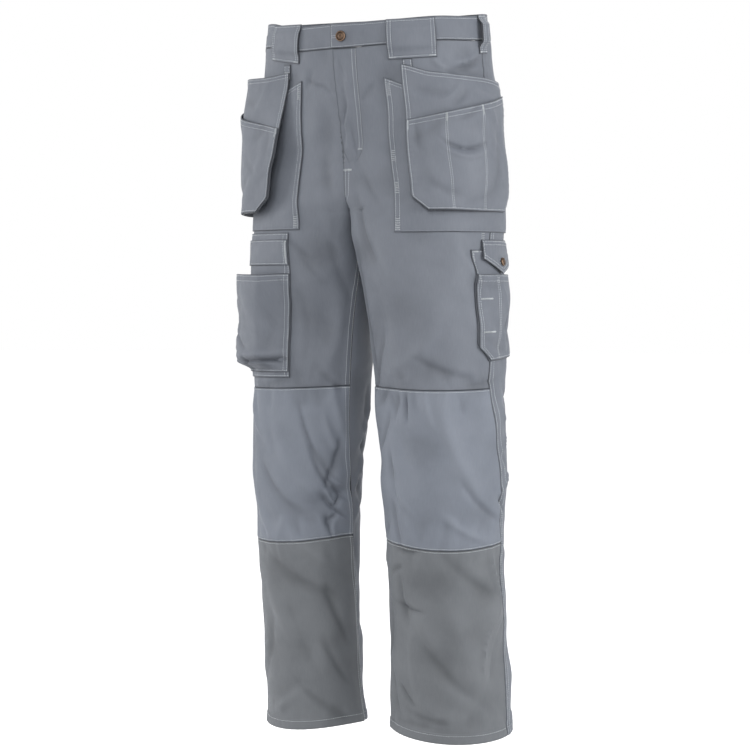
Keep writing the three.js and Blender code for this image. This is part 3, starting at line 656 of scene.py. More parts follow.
clothLooks = {
    "grey_blue_twill": {
        "dark": (0.132, 0.146, 0.174), "light": (0.156, 0.171, 0.201),
        "wornAndHighlight": (0.25, 0.27, 0.305), "weave": "twill",
    },
    "paler_plain_weave": {
        "dark": (0.166, 0.186, 0.224), "light": (0.190, 0.211, 0.252),
        "wornAndHighlight": (0.28, 0.305, 0.35), "weave": "plain",
    },
    "darker_grey_twill": {
        "dark": (0.128, 0.138, 0.151), "light": (0.150, 0.161, 0.175),
        "wornAndHighlight": (0.22, 0.233, 0.25), "weave": "twill",
    },
}
# Pitch in mm, how dark the gaps of the weave are, how dark the painted shade along edges and in crease
# troughs is, and the least and the most roughness
weaves = {"twillPitch": 1.5, "plainPitch": 1.2, "hollow": 0.6, "seam": 0.22, "roughness": (0.56, 0.72)}


def clothFinish(name):
    # Diagonal twill ribs or a plain weave in the cloth's own coordinates, slubs along the warp, faded and
    # mottled patches, paler worn edges, a painted highlight on crease ridges, painted shade along the edges
    # and in crease troughs, and a soft sheen.
    look = clothLooks[name]
    material, tree, shader = newFinish(name)
    place = placeOn(tree)
    cloth = addNode(tree, "ShaderNodeUVMap", {}, uv_map="cloth").outputs[0]
    mm = times(tree, cloth, (1000, 1000, 0), "ShaderNodeVectorMath").outputs[0]
    if look["weave"] == "twill":
        weave = bands(tree, mm, 0.628 / (weaves["twillPitch"] * 1.414), "DIAGONAL", 0.8)
    else:
        warp, weft = (bands(tree, mm, 0.314 / weaves["plainPitch"], way, 0.6) for way in "XY")
        weave = times(tree, warp, weft).outputs[0]
    thin = times(tree, mm, (0.9, 0.07, 0), "ShaderNodeVectorMath").outputs[0]
    slub, fibre = noise(tree, thin, 1.0, 2.0), noise(tree, mm, 0.8, 3.0)
    broad, small = noise(tree, place, 14.0, 4.0), noise(tree, place, 70.0, 3.0)
    faded = remap(tree, broad, 0.3, 0.7, 0.0, 1.0)
    colour = mixColour(tree, faded, opaque(look["dark"]), opaque(look["light"]))
    colour = mixColour(tree, remap(tree, slub, 0.4, 0.75, 0.0, 0.14), colour, opaque(look["wornAndHighlight"]))
    gaps = remap(tree, weave, 0.0, 1.0, 0.16, 0.0)
    colour = mixColour(tree, gaps, colour, opaque(look["dark"], weaves["hollow"]))
    # How much paler: wear at the edges, and a painted highlight on crease ridges.
    rubbedAndHighlight = times(tree, painted(tree, "wearAndHighlight"), remap(tree, small, 0.3, 0.7, 0.5, 1.1))
    rubbedAndHighlight.use_clamp = True
    colour = mixColour(tree, rubbedAndHighlight.outputs[0], colour, opaque(look["wornAndHighlight"]))
    # Painted shade along the edges and in the crease troughs.
    colour = mixColour(tree, painted(tree, "shade"), colour, opaque(look["dark"], weaves["seam"]))
    setInputs(tree, shader, {
        "Base Color": colour, "Roughness": remap(tree, small, 0.3, 0.7, *weaves["roughness"]),
        "Specular IOR Level": 0.4, "Sheen Weight": 0.15, "Sheen Roughness": 0.45,
        "Sheen Tint": (0.85, 0.9, 1.0, 1),
    })
    roughen(tree, shader, (small, 0.35, 0.0014), (fibre, 0.4, 0.0004), (weave, 0.5, 0.0003))
    return material


threadLooks = {"dark": (0.44, 0.47, 0.49), "light": (0.62, 0.65, 0.67)}


def threadFinish():
    # Pale twisted thread, a little uneven in colour.
    material, tree, shader = newFinish("sewing_thread")
    place = placeOn(tree)
    tone = noise(tree, place, 160.0, 2.0)
    twist = bands(tree, place, 420.0, "DIAGONAL")
    uneven = remap(tree, tone, 0.3, 0.7, 0.0, 1.0)
    setInputs(tree, shader, {
        "Base Color": mixColour(tree, uneven, opaque(threadLooks["dark"]), opaque(threadLooks["light"])),
        "Roughness": remap(tree, tone, 0.3, 0.7, 0.5, 0.7), "Sheen Weight": 0.3,
    })
    roughen(tree, shader, (twist, 0.4, 0.0002))
    return material


copperLooks = {"dark": (0.035, 0.024, 0.018), "light": (0.085, 0.055, 0.036), "rubbedAndHighlight": (0.19, 0.125, 0.085)}


def copperFinish():
    # Antique copper: dark in its hollows, brighter where the rim is rubbed, with small pits.
    material, tree, shader = newFinish("antique_copper")
    place = placeOn(tree)
    stain, pits = noise(tree, place, 420.0, 5.0), noise(tree, place, 1500.0, 3.0)
    # The rubbed colour is laid where the rim is worn; the buttons carry no painted highlight.
    dark, light, rubbedAndHighlight = (opaque(copperLooks[name]) for name in ("dark", "light", "rubbedAndHighlight"))
    colour = mixColour(tree, remap(tree, stain, 0.35, 0.65, 0.0, 1.0), dark, light)
    setInputs(tree, shader, {
        "Base Color": mixColour(tree, painted(tree, "wearAndHighlight"), colour, rubbedAndHighlight),
        "Roughness": remap(tree, stain, 0.3, 0.7, 0.55, 0.34), "Metallic": 0.85,
    })
    roughen(tree, shader, (pits, 0.3, 0.0002))
    return material


mainCloth, kneeCloth, shinCloth = (clothFinish(name) for name in clothLooks)
thread = threadFinish()
copper = copperFinish()
print("stage 2 of 6: finishes ready")


# Panels: front, knee and shin at the front, one long panel at the back

def innerEdge(side, face, row):
    # The mid seam, then the crotch seam from its table, then the inseam.
    row = np.asarray(row, float)
    column, sign, whole = (1, 1, 0) if face == "front" else (2, -1, 360)
    top, bottom = garment["crotchTop"], garment["crotchLow"]
    joined = smooth(bottom, garment["crotchJoined"], row)
    low = mix(crotch[-1][column], tableCurve(seams[side], 2, row) - whole, joined)
    degrees = np.where(row > top, 90.0 * sign, np.where(row >= bottom, tableCurve(crotch, column, row), low))
    level = np.where((row <= top) & (row >= bottom), tableCurve(crotch, 3, row), row)
    return roundOf(side, level, degrees), level


def makePanel(side, face, rise):
    # Place a point of a panel by its row and by its share of the way from the side seam to the inner edge.
    sign = 1 if face == "front" else -1

    def ends(row):
        # Round of both edges of a row, and the level where it meets the inner edge.
        outer = roundOf(side, row, tableCurve(seams[side], 1, row)) + sign * garment["seamGap"] / 2
        inner, level = innerEdge(side, face, row)
        return outer, inner - sign * garment["seamGap"] / 2, level

    def at(row, u, out=0.0):
        # Round is mixed between the two edges, and level from the row to where it meets the inner edge.
        row, u = np.broadcast_arrays(np.asarray(row, float), np.asarray(u, float))
        outer, inner, edgeLevel = ends(row)
        around = mix(outer, inner, u)
        level = lineLevel(side, mix(row, edgeLevel, u ** 2), around)
        level = level + seamShift(side, level, angleAt(side, level, around))
        wide = np.abs(inner - outer)
        point, normal = onCloth(side, around, level, rise(row, u * wide, (1 - u) * wide, around) + out)
        return point, normal, around, level

    def wide(row):
        # Distance in mm between the two edges of a row.
        outer, inner, _ = ends(np.asarray(row, float))
        return np.abs(inner - outer)

    return at, wide


panels = {
    "step": {"front": 3.4, "knee": 3.0, "shin": 3.6, "back": 4.6},
    "seamDip": 0.5, "feltRise": 0.7, "feltWide": 9.5, "hemRise": 1.0, "hemRope": 0.35, "pucker": 0.25,
    "sideRows": (2, 8), "inseamRows": (2, 8.5), "seatRows": (2.5, 9), "kneeRow": 2.5, "hemRow": 12,
    "frontWide": 245, "kneeProud": 0.6, "kneeThicker": 0.4, "hemThicker": 1.0,
}
panelCuts = {  # width and length of the cut, and its flat area, in metres
    "front": (0.36, 0.52, 0.14), "knee": (0.29, 0.235, 0.06),
    "shin": (0.27, 0.30, 0.075), "back": (0.42, 1.05, 0.30),
}


def panelRise(part, top, bottom):
    # A groove at each seam, a felled ridge beside the side seam or inseam, puckers, and the turned-up hem.
    def rise(row, fromSide, fromInner, around):
        # The sum of all of these, in mm.
        groove = bell(fromSide, 1.6) + bell(fromInner, 1.6)
        nearest = fromSide if part == "back" else np.where(row < garment["legTop"], fromInner, 99)
        wide = panels["feltWide"]
        felled = smooth(0.5, 2, nearest) * (1 - smooth(wide, wide + 2.5, nearest))
        height = panels["feltRise"] * felled - panels["seamDip"] * groove
        wave = wander(row, 8.3, 31) * panels["pucker"]
        height = height + wave * (bell(fromSide, 7) + bell(fromInner, 7))
        for line, sign in ((top, -1), (bottom, 1)):
            away = np.abs(row - line)
            if line < -40 and line > garment["hem"]:
                height = height - 0.5 * bell(away, 1.8)
                height = height + 0.35 * wander(around, 9.1, 37) * bell(away, 8)
        if part == "knee":
            height = height + panels["kneeProud"]
        if bottom <= garment["hem"]:
            above = row - garment["hem"]
            turned = 1 - smooth(garment["hemTurnUp"] - 0.5, garment["hemTurnUp"] + 1, above)
            rope = np.sin(2 * np.pi * (around + 0.7 * above) / 10.5 + 1.5 * np.sin(around / 43))
            height = height + turned * (panels["hemRise"] + rope * panels["hemRope"])
            height = height - 0.4 * bell(above - panels["hemRow"], 1.3)
        return height
    return rise


half = garment["seamGap"] / 2
panelSpans = {
    "front": (garment["bandSeam"] - 2 * half, garment["kneeTop"] + half),
    "knee": (garment["kneeTop"] - half, garment["kneeBottom"] + half),
    "shin": (garment["kneeBottom"] - half, garment["hem"]),
    "back": (garment["bandSeam"] - 2 * half, garment["hem"]),
}
panelAt = {}
for side in ("left", "right"):
    for part, (top, bottom) in panelSpans.items():
        face = "back" if part == "back" else "front"
        at, wide = makePanel(side, face, panelRise(part, top, bottom))
        panelAt[part, side] = (at, wide)
        step = panels["step"][part]
        hemmed = bottom <= garment["hem"]
        usual = panels["frontWide"] if part == "front" else float(wide((top + bottom) / 2))
        down = shares(top - bottom, step, 1.0, (-2,) if part == "knee" else ())
        if hemmed:
            turn = garment["hemTurnUp"] + np.array([-2, -0.5, 0.2, 1.0, 2.5, 4.5])
            down = np.sort(np.r_[down, (top - bottom) - turn])
        rows = (top - down)[:, None]
        marks = shares(usual, step, 1.0, (2, 8, -2, -8))
        u = stretch(marks[None, :], np.maximum(wide(rows), 120))
        span = wide(rows)
        grid = at(rows, u)
        edge = np.minimum(np.minimum(u * span, (1 - u) * span), np.broadcast_to(down[:, None], u.shape))
        edge = np.minimum(edge, (top - bottom) - down[:, None])
        raised = (1 - smooth(13.5, 15, rows - bottom)) if hemmed else 0
        ridge = creaseHeight(side, grid[2], grid[3], angleAt(side, grid[3], grid[2]), grid[0][..., 0])
        finish = {"front": mainCloth, "knee": kneeCloth, "shin": shinCloth, "back": mainCloth}[part]
        thick = garment["panelCloth"] + raised * panels["hemThicker"]
        thick = thick + (panels["kneeThicker"] if part == "knee" else 0)
        piece = wallPiece(part + "_" + side, grid, thick, edge, 0.8, finish, ridge)
        width, length, area = panelCuts[part]
        ways = np.linspace(top - 1, bottom + 1, 500)
        below = ways[ways < garment["legTop"]]
        if part == "back":
            for inset in panels["sideRows"]:
                sew("seams", at, below, inset / wide(below))
            seat = ways[ways > garment["seatLow"]]
            for inset in panels["seatRows"] if side == "left" else ():
                sew("seams", at, seat, 1 - inset / wide(seat))
        else:
            for inset in panels["inseamRows"]:
                sew("seams", at, below, 1 - inset / wide(below))
        share = np.linspace(0.006, 0.994, 300)
        if part in ("knee", "shin"):
            sew("seams", at, top - panels["kneeRow"], share)
        if part == "knee":
            sew("seams", at, bottom + panels["kneeRow"], share)
        if hemmed:
            sew("seams", at, bottom + panels["hemRow"], share, pitch=3.6)
print("stage 3 of 6: panels ready")


# Waistband and belt loops

waistband = {
    "proud": 0.8, "lapOver": 4, "lapUnder": 18, "lapLift": 3.1, "rowsBelow": (2.5,), "rowsAbove": (4,),
    "high": 37, "long": {"left": 482, "right": 492}, "hole": (3, 20),
}


def bandSurface(side):
    # The waistband: round is mixed from the back seam to the lapped end and level from the top edge to the
    # seam; the end that laps stands off by a soft step.
    end = waistband["lapOver"] if side == "left" else waistband["lapUnder"]

    def place(u, v):
        # The lap, the sewn grooves and a slight wave are added along the normal.
        usual = mix(garment["waistTop"], garment["bandSeam"] + half, v)
        around = mix(roundOf(side, usual, -90) + half, roundOf(side, usual, 90) + end, u)
        degrees = angleAt(side, usual, around)
        shift = mix(tableCurve(waistLines[side], 1, degrees), tableCurve(waistLines[side], 2, degrees), v)
        fromFront = roundOf(side, usual, 90) - around
        lift = waistband["lapLift"] * smooth(46, 26, fromFront) if side == "left" else 0
        height = garment["waistTop"] - garment["bandSeam"]
        sewn = sum(bell(v * height - row, 1.2) for row in waistband["rowsAbove"])
        sewn = sewn + sum(bell((1 - v) * height - row, 1.2) for row in waistband["rowsBelow"])
        wave = 0.3 * wander(around, 11, 41) * bell((1 - v) * height, 9)
        point, normal = onCloth(side, around, usual + shift, waistband["proud"] + lift - 0.35 * sewn + wave)
        return point, normal, around, usual + shift
    return surface(place)


bandAt = {}
for side in ("left", "right"):
    at = bandAt[side] = bandSurface(side)
    length, high = waistband["long"][side], waistband["high"]
    marks = shares(length, 3.0, 1.2)
    downs = shares(high, 2.6, 1.2, (4, -2.5))
    u, v = np.meshgrid(marks / length, downs / high)
    edge, thick = toEdge(u, v, length, high), garment["bandCloth"]
    # The band's painted shade along its edges is wider than the usual one.
    piece = wallPiece("waistband_" + side, at(u, v), thick, edge, 1.1, mainCloth, rim=1.2)
    run = np.linspace(0.003, 0.997, 500)
    above, below = (np.array(waistband[name]) / high for name in ("rowsAbove", "rowsBelow"))
    for share in (*above, *(1 - below)):
        sew("waist", at, run, share)
    if side == "left":
        sew("waist", at, 1 - 2.5 / length, np.linspace(0.08, 0.92, 60))

loops = {
    "belt_loop_front_left": {"side": "left", "middle": 118, "wide": 70, "stand": 2.4},
    "belt_loop_front_right": {"side": "right", "middle": 142, "wide": 68, "stand": 2.4, "rise": 7},
    "belt_loop_side_left": {"side": "left", "middle": 0, "wide": 22, "stand": 6.8},
    "belt_loop_side_right": {"side": "right", "middle": 0, "wide": 22, "stand": 6.8},
    "belt_loop_back": {"side": "left", "middle": None, "wide": 24, "stand": 6.8},
}
loopShape = {
    "top": 8.4, "bottom": -49, "long": 55, "cloth": 1.8, "rows": (2, 6.5), "endRow": 3, "step": 1.8,
}


def loopSurface(loop):
    # A belt loop sewn at both ends: a soft step up and a soft step down along it make it stand off.
    def place(u, v):
        # The loop tapers a little where its foot is raised.
        level = mix(loopShape["top"], loopShape["bottom"] + loop.get("rise", 0) * (1 - u), v)
        middle = roundOf("left", level, -90) if loop["middle"] is None else loop["middle"]
        around = middle + (u - 0.5) * loop["wide"]
        stand = loop["stand"] * smooth(0.08, 0.27, v) * (1 - smooth(0.68, 0.86, v))
        step = waistband["proud"] * (1 - smooth(0.66, 0.8, v))
        inset = np.minimum(u, 1 - u) * loop["wide"]
        sewn = sum(bell(inset - row, 1.1) for row in loopShape["rows"])
        ends = bell(np.minimum(v, 1 - v) * loopShape["long"] - loopShape["endRow"], 1.2)
        crumple = 0.2 * np.sin(9 * v + 5 * u) * np.sin(np.pi * u)
        out = step + garment["layGap"] + loopShape["cloth"] + stand - 0.3 * np.maximum(sewn, ends) + crumple
        point, normal = onCloth(loop["side"], around, level, out)
        return point, normal, around, level
    return surface(place)


for name, loop in loops.items():
    at = loopSurface(loop)
    wide, long = loop["wide"], loopShape["long"]
    marks = shares(wide, loopShape["step"], 0.9, (2, 6.5, -2, -6.5))
    downs = shares(long, loopShape["step"], 0.9, (3, -3))
    u, v = np.meshgrid(marks / wide, downs / long)
    edge = toEdge(u, v, wide, long)
    piece = wallPiece(name, at(u, v), loopShape["cloth"], edge, 0.9, mainCloth)
    run = np.linspace(0.02, 0.98, 90)
    for row in loopShape["rows"]:
        for share in (row / wide, 1 - row / wide):
            sew("waist", at, share, run)
    for share in (loopShape["endRow"] / long, 1 - loopShape["endRow"] / long):
        sew("waist", at, run, share, pitch=2.2)
    for share in (0.1, 0.9):
        tack("waist", at, (share - 0.06, 0.955), (share + 0.06, 0.955), wide=1.8)

# Fly cover: an edge that laps the middle, and a J of double sewing that sinks its other edge in the front

fly = {"wide": 36, "lap": 1.5, "bottom": -206, "turn": 44, "rows": (1.5, 7.5), "across": 40.5, "long": 176}
# Slanting folds of the fly: round, level, angle, length, width, height, bend, lean
flyFolds = [
    [232, -118, -78, 84, 7, -2.6, 3, 0.5], [224, -112, -78, 84, 7, 2.2, 3],
    [238, -166, -82, 52, 6, -2.2, 2], [229, -176, 78, 46, 8, 1.8, 2], [236, -66, -84, 40, 7, 1.8, 2],
    [226, -62, 70, 30, 7, -1.6, 2],
]


def flyPlace(u, v):
    # The fly cover: its width narrows as a quarter circle over the turn at its foot.
    level = mix(garment["bandSeam"] - 0.3, fly["bottom"], v)
    wide = tableCurve(sections["left"], 3, level)
    low = smooth(fly["bottom"] + fly["turn"], fly["bottom"] - 2, level)
    rear = 3 + (fly["wide"] - 3) * np.sqrt(np.maximum(1 - low * low, 0))
    lap = fly["lap"] * (1 - smooth(-150, -205, level))
    degrees = 90 - np.degrees(mix(rear, -lap, u) / wide)
    level = level + seamShift("left", level, degrees)
    fromRear = u * (rear + lap)
    point = bodyPoint("left", level, degrees, True)
    normal = bodyNormal("left", level, np.minimum(degrees, 89))
    out = mix(0.25, 2.1, smooth(0, 16, fromRear)) * (1 - 0.8 * smooth(0.9, 1, v))
    out = out + 1.2 * smooth(0.8, 1, u) * np.sin(np.pi * v)
    ripple = 0.5 * np.sin(2 * np.pi * level / 46 + 1.3) * u + 0.35 * np.sin(2 * np.pi * level / 19) * u ** 3
    sewn = sum(bell(fromRear - row, 1.1) for row in fly["rows"])
    around = roundOf("left", level, np.minimum(degrees, 89))
    height = foldHeight(around, level, folds["left"]) * smooth(2, 16, np.abs(point[..., 0]))
    height = height + creaseHeight("left", around, level, np.minimum(degrees, 89), point[..., 0])
    height = height + foldHeight(around, level, flyFolds) * smooth(0, 6, fromRear)
    point = point + normal * (out + ripple - 0.3 * sewn + height)[..., None]
    point[..., 0] += midShift(point)
    return point, normal, around, level


flyAt = surface(flyPlace)
downs = shares(fly["long"], 2.6, 0.8)
marks = shares(fly["across"], 1.9, 0.8, fly["rows"])
u, v = np.meshgrid(marks / fly["across"], downs / fly["long"])
edge = toEdge(u, v, fly["across"], fly["long"])
# The fly's painted shade along its edges is wider, drawing its lapping edge as a dark line.
piece = wallPiece("fly", flyAt(u, v), 1.3, edge, 0.7, mainCloth, rim=1.5)
run = np.linspace(0.01, 0.86, 200)
for row in fly["rows"]:
    sew("waist", flyAt, row / fly["across"], run)
tack("waist", flyAt, (0.02, 0.868), (0.24, 0.868), wide=2.2)
frontAt, frontWide = panelAt["front", "left"]
levels = np.linspace(-208, -262, 80)
for inset in (3.0, 9.0):
    sew("seams", frontAt, levels, 1 - inset / frontWide(levels))
near, far = 1 - 1 / panels["frontWide"], 1 - 14 / panels["frontWide"]
tack("waist", frontAt, (-211, near), (-211, far), wide=2.8)


# Sewn-on pieces: each has four edges as functions, a layer, a lift and its own dents

def makePatch(side, rear, front, top, bottom, layer=1, lift=None, sewn=(), dents=(), lines=()):
    # A sewn-on piece: level is mixed from top to bottom and round from rear to front. It stands off by its
    # layer and its lift, less a bell-shaped groove along each sewn row.
    cloth = garment["patchCloth"]
    base = garment["firstGap"] + (layer - 1) * (garment["layGap"] + cloth) + cloth
    sewn = dict(sewn)

    def wide(v):
        # Round of the front edge less that of the rear edge.
        v = np.asarray(v, float)
        level = mix(top(np.full(v.shape, 0.5)), bottom(np.full(v.shape, 0.5)), v)
        return front(v, level) - rear(v, level)

    def high(u):
        # Level of the top edge less that of the bottom edge.
        return top(u) - bottom(u)

    def place(u, v):
        # The formula above, with a ripple beside each sewn row.
        level = mix(top(u), bottom(u), v)
        here = front(v, level) - rear(v, level)
        around = mix(rear(v, level), front(v, level), u)
        away = {"rear": u * here, "front": (1 - u) * here, "top": v * high(u), "bottom": (1 - v) * high(u)}
        out = base + (lift(u, v) if lift else 0.0)
        for name, rows in sewn.items():
            along = level if name in ("rear", "front") else around
            for row in rows:
                out = out - 0.35 * bell(away[name] - row, 1.1)
            near = bell(away[name] - max(rows), 7)
            out = out + 0.28 * wander(along, 8.7, 29) * near
        for line in lines:
            out = out - 0.5 * bell(around - line, 1.8) * smooth(0, 0.05, v)
        if len(dents):
            out = out + foldHeight(around, level, dents) * smooth(0, 0.08, np.minimum(u, 1 - u))
        point, normal = onCloth(side, around, level, out)
        return point, normal, around, level

    def ridge(around, level):
        # Height of the dents alone, by which the finish paints shade in their troughs and a highlight on
        # their ridges.
        return foldHeight(around, level, dents) if len(dents) else np.zeros(around.shape)

    return {"at": surface(place), "wide": wide, "high": high, "sewn": sewn, "ridge": ridge}


def addPatch(node, part, step=3.0, skip=()):
    # Mesh and sewn rows of such a piece, its grid closer at its edges and beside its rows.
    wide, high, at = part["wide"], part["high"], part["at"]
    usualWide, usualHigh = float(wide(np.array(0.3))), float(high(np.array(0.5)))
    rows = part["sewn"].get
    inRows = [*rows("rear", ()), *(-row for row in rows("front", ()))]
    downRows = [*rows("top", ()), *(-row for row in rows("bottom", ()))]
    marks, downs = shares(usualWide, step, 0.8, inRows), shares(usualHigh, step, 0.8, downRows)
    u = np.broadcast_to(marks[None, :] / usualWide, (len(downs), len(marks)))
    v = stretch(downs[:, None], high(u))
    u = stretch(marks[None, :], wide(v))
    edge = toEdge(u, v, wide(v), high(u))
    grid = at(u, v)
    ridge = part["ridge"](grid[2], grid[3])
    piece = wallPiece(node, grid, garment["patchCloth"], edge, 0.75, mainCloth, ridge)
    run = np.linspace(0, 1, 260)
    for name, rows in part["sewn"].items():
        if name in skip:
            continue
        for row in rows:
            if name in ("rear", "front"):
                ways = mix(1.5 / usualHigh, 1 - 1.5 / usualHigh, run)
                share = row / wide(ways)
                sew("pockets", at, share if name == "rear" else 1 - share, ways)
            else:
                ends = 1.5 / float(wide(np.array(0.0 if name == "top" else 1.0)))
                ways = mix(ends, 1 - ends, run)
                share = row / high(ways)
                sew("pockets", at, ways, share if name == "top" else 1 - share)
    return piece


def column(rows, index):
    # An edge read from a table by its level.
    return lambda v, level: tableCurve(rows, index, level)


def fixed(place):
    # An edge that keeps one place, given in round or as a level.
    return lambda along, level=0: place + 0 * along


def cornerCut(v, height, size):
    # How far an edge has moved in near the bottom of a piece with a cut-off corner.
    reach = 1 - size["up"] / height
    return np.where(v < reach, 0, size["in"] * (v - reach) / (1 - reach))


def divider(part, line, apart):
    # Two upright rows of sewing through both layers of a pocket.
    at, wide = part["at"], part["wide"]
    ways = np.linspace(0.03, 0.985, 160)
    for shift in (-apart / 2, apart / 2):
        rear = at(0.0, ways)[2]
        share = np.clip((line + shift - rear) / wide(ways), 0.02, 0.98)
        sew("pockets", at, share, ways)


hipPanel = {
    "rear": -95, "bottom": {"left": -307, "right": -301}, "tackLong": 15, "tackWide": 6.5,
    "sewn": {"front": (2.6, 8.4), "rear": (2.6, 8.4), "bottom": (2.6,), "top": (2.6, 7)},
    "front": np.array([[-80, 163, 181], [-205, 163, 181], [-250, 163, 184], [-301, 164, 193]], float),
    "tacks": {"left": (-84, -186, -235, -288), "right": (-84, -282)}, "tackTop": -74, "tackInset": 5.5,
    "wide": 258, "top": (-158, -80), "cornerRise": 6,
}
for side in ("left", "right"):
    bottom, high = hipPanel["bottom"][side], hipPanel["tackTop"]
    part = makePatch(
        side, fixed(hipPanel["rear"]), column(hipPanel["front"], 1 if side == "left" else 2),
        lambda u: mix(*hipPanel["top"], u ** 1.2) + hipPanel["cornerRise"] * smooth(0.7, 1, u),
        fixed(bottom), sewn=hipPanel["sewn"],
    )
    addPatch("hip_panel_" + side, part, step=3.2, skip=("bottom",))
    inset = 1 - hipPanel["tackInset"] / hipPanel["wide"]
    for level in hipPanel["tacks"][side]:
        start, end = [(high - at) / (high - bottom) for at in (level, level - hipPanel["tackLong"])]
        tack("pockets", part["at"], (inset, start), (inset, end), wide=hipPanel["tackWide"], pitch=2.1)

holster = {
    "rear": -38, "bottom": -278, "chamfer": {"in": 22, "up": 20}, "pocketInset": 0.6,
    "left": {
        "front": 136, "top": (-95, -63), "mouth": (-113, -140), "lines": (80, 30),
        "flare": 0, "cornerRise": 7, "tabIn": 5, "full": 9,
    },
    "right": {
        "front": 144, "top": (-84, -64), "mouth": (-114, -145), "lines": (),
        "flare": 10, "cornerRise": 3, "tabIn": 1, "full": 1.5,
    },
    "tab": {"wide": 14, "top": -49.5, "under": 8},
}
# Dents and bulges of the hanging pockets, as round, level, angle, length, width, height, bend, lean
holsterDents = {
    "left": [
        [58, -190, 4, 58, 9, -3.6, 12, 0.6], [56, -200, 4, 58, 9, 2.6, 12],
        [104, -160, -35, 60, 18, -2.2, 6], [20, -160, 60, 60, 16, 2.4, 5],
        [46, -136, -40, 34, 8, -2.2, 3, 0.4], [12, -135, 60, 40, 8, 2.4, 3],
        [106, -205, 84, 110, 22, 2.2, 4], [56, -225, 80, 90, 24, 2.0, 4],
        [5, -215, -80, 100, 18, -2.0, 5], [92, -250, 24, 50, 13, -1.8, 5],
        [40, -262, -20, 50, 12, -1.6, 4], [120, -170, 80, 50, 10, -1.6, 3],
        [-20, -180, 84, 90, 16, 2.4, 4],
    ],
    "right": [
        [120, -140, 60, 60, 18, -2.2, 6], [80, -170, -70, 90, 26, 2.4, 8],
        [30, -190, 78, 110, 26, -2.4, 8], [112, -225, 62, 80, 22, 2.4, 6],
        [60, -245, 14, 70, 16, -2.2, 6], [96, -205, -50, 70, 18, -2.0, 6], [5, -240, -70, 80, 20, 2.0, 6],
        [-20, -170, 84, 90, 16, -1.8, 4], [130, -180, 86, 80, 12, -1.4, 3],
    ],
}

holsterBackDents = {
    "left": [
        [64, -104, -40, 40, 8, 2.8, 3, 0.5], [54, -112, -40, 34, 7, -2.4, 2],
        [96, -100, 10, 50, 12, -1.8, 3], [14, -108, 30, 40, 9, 2.0, 3],
    ],
    "right": [[70, -100, -30, 60, 16, -1.8, 4], [110, -95, 70, 50, 12, 1.8, 3]],
}


def holsterStand(side, u, v):
    # How far a hanging pocket stands off the leg: soft steps across it and down it.
    if side == "left":
        return 0.4 * smooth(0, 0.1, v) + 6 * smooth(0.2, 0.8, u) * smooth(0.1, 1, v)
    return 20 * mix(1, smooth(0, 0.65, v), smooth(0.5, 1, u)) - 6 * smooth(0.55, 1, v)


def addHolster(side):
    # Back cloth, outer pocket and tab of one hanging pocket. Each edge is a function of the way along it.
    own, cut, tabShape, inset = holster[side], holster["chamfer"], holster["tab"], holster["pocketInset"]
    backTall, pocketTall = (own[name][1] - holster["bottom"] for name in ("top", "mouth"))
    low, lower = fixed(holster["bottom"]), fixed(holster["bottom"] + inset)

    def topAt(u):
        # The slanted top, its front corner raised by a soft step.
        return mix(own["top"][0], own["top"][1], u ** 0.8) + own["cornerRise"] * smooth(0.75, 1, u)

    def mouth(u):
        # The slanted mouth.
        return mix(own["mouth"][0], own["mouth"][1], u ** 1.1)

    def rearEdge(tall, inside):
        # Straight, set in by a few tenths, with its corner cut off.
        return lambda v, level: holster["rear"] + inside + cornerCut(v, tall, cut)

    def frontEdge(tall, inside):
        # It flares towards its top by a soft step.
        flare = lambda level: own["flare"] * smooth(-225, -105, level)
        return lambda v, level: own["front"] + flare(level) - inside - cornerCut(v, tall, cut)

    def lift(u, v):
        # The back cloth's own stand, and a fullness that dies out towards every seam.
        backV = (mix(mouth(u), lower(u), v) - topAt(u)) / (low(u) - topAt(u))
        full = smooth(0.05, 0.5, u) * (1 - smooth(0.7, 0.95, u)) * (1 - smooth(0.55, 0.93, v))
        return holsterStand(side, u, backV) + 0.5 + own["full"] * full

    back = makePatch(
        side, rearEdge(backTall, 0), frontEdge(backTall, 0), topAt, low, layer=2,
        lift=lambda u, v: holsterStand(side, u, v), dents=holsterBackDents[side],
        sewn={"top": (2.4, 6.8), "front": (2.4, 6.8), "rear": (2,), "bottom": (2,)},
    )
    addPatch("holster_back_" + side, back)
    pocket = makePatch(
        side, rearEdge(pocketTall, inset), frontEdge(pocketTall, inset), mouth, lower, layer=3, lift=lift,
        sewn={"top": (2.4, 8.4), "front": (2.6,), "rear": (2.6,), "bottom": (2.6,)},
        dents=holsterDents[side], lines=own["lines"],
    )
    addPatch("holster_pocket_" + side, pocket, step=2.6)
    for line in own["lines"]:
        divider(pocket, line, 2.4)
        share = (line - holster["rear"]) / (own["front"] - holster["rear"])
        tack("pockets", pocket["at"], (share, 0.012), (share, 0.09), wide=2.6)
    for share in (0.018, 0.982):
        tack("pockets", pocket["at"], (share, 0.012), (share, 0.11), wide=2.4)
    tabFront = own["front"] + own["flare"] - own["tabIn"] + 2
    tab = makePatch(
        side, fixed(tabFront - tabShape["wide"]), fixed(tabFront), fixed(tabShape["top"]),
        fixed(own["top"][1] - tabShape["under"]), sewn={"rear": (2,), "front": (2,)},
    )
    addPatch("holster_tab_" + side, tab, step=1.6)
    tack("pockets", tab["at"], (0.15, 0.5), (0.85, 0.5), wide=1.8)


for side in ("left", "right"):
    addHolster(side)

cargo = {
    "wide": 182, "top": -305, "bottom": -517, "band": (-315, -352), "pocket": (-364, -509), "full": 21,
    "front": np.array([[-305, 176], [-342, 178], [-365, 176], [-403, 166], [-440, 157], [-517, 154]], float),
}
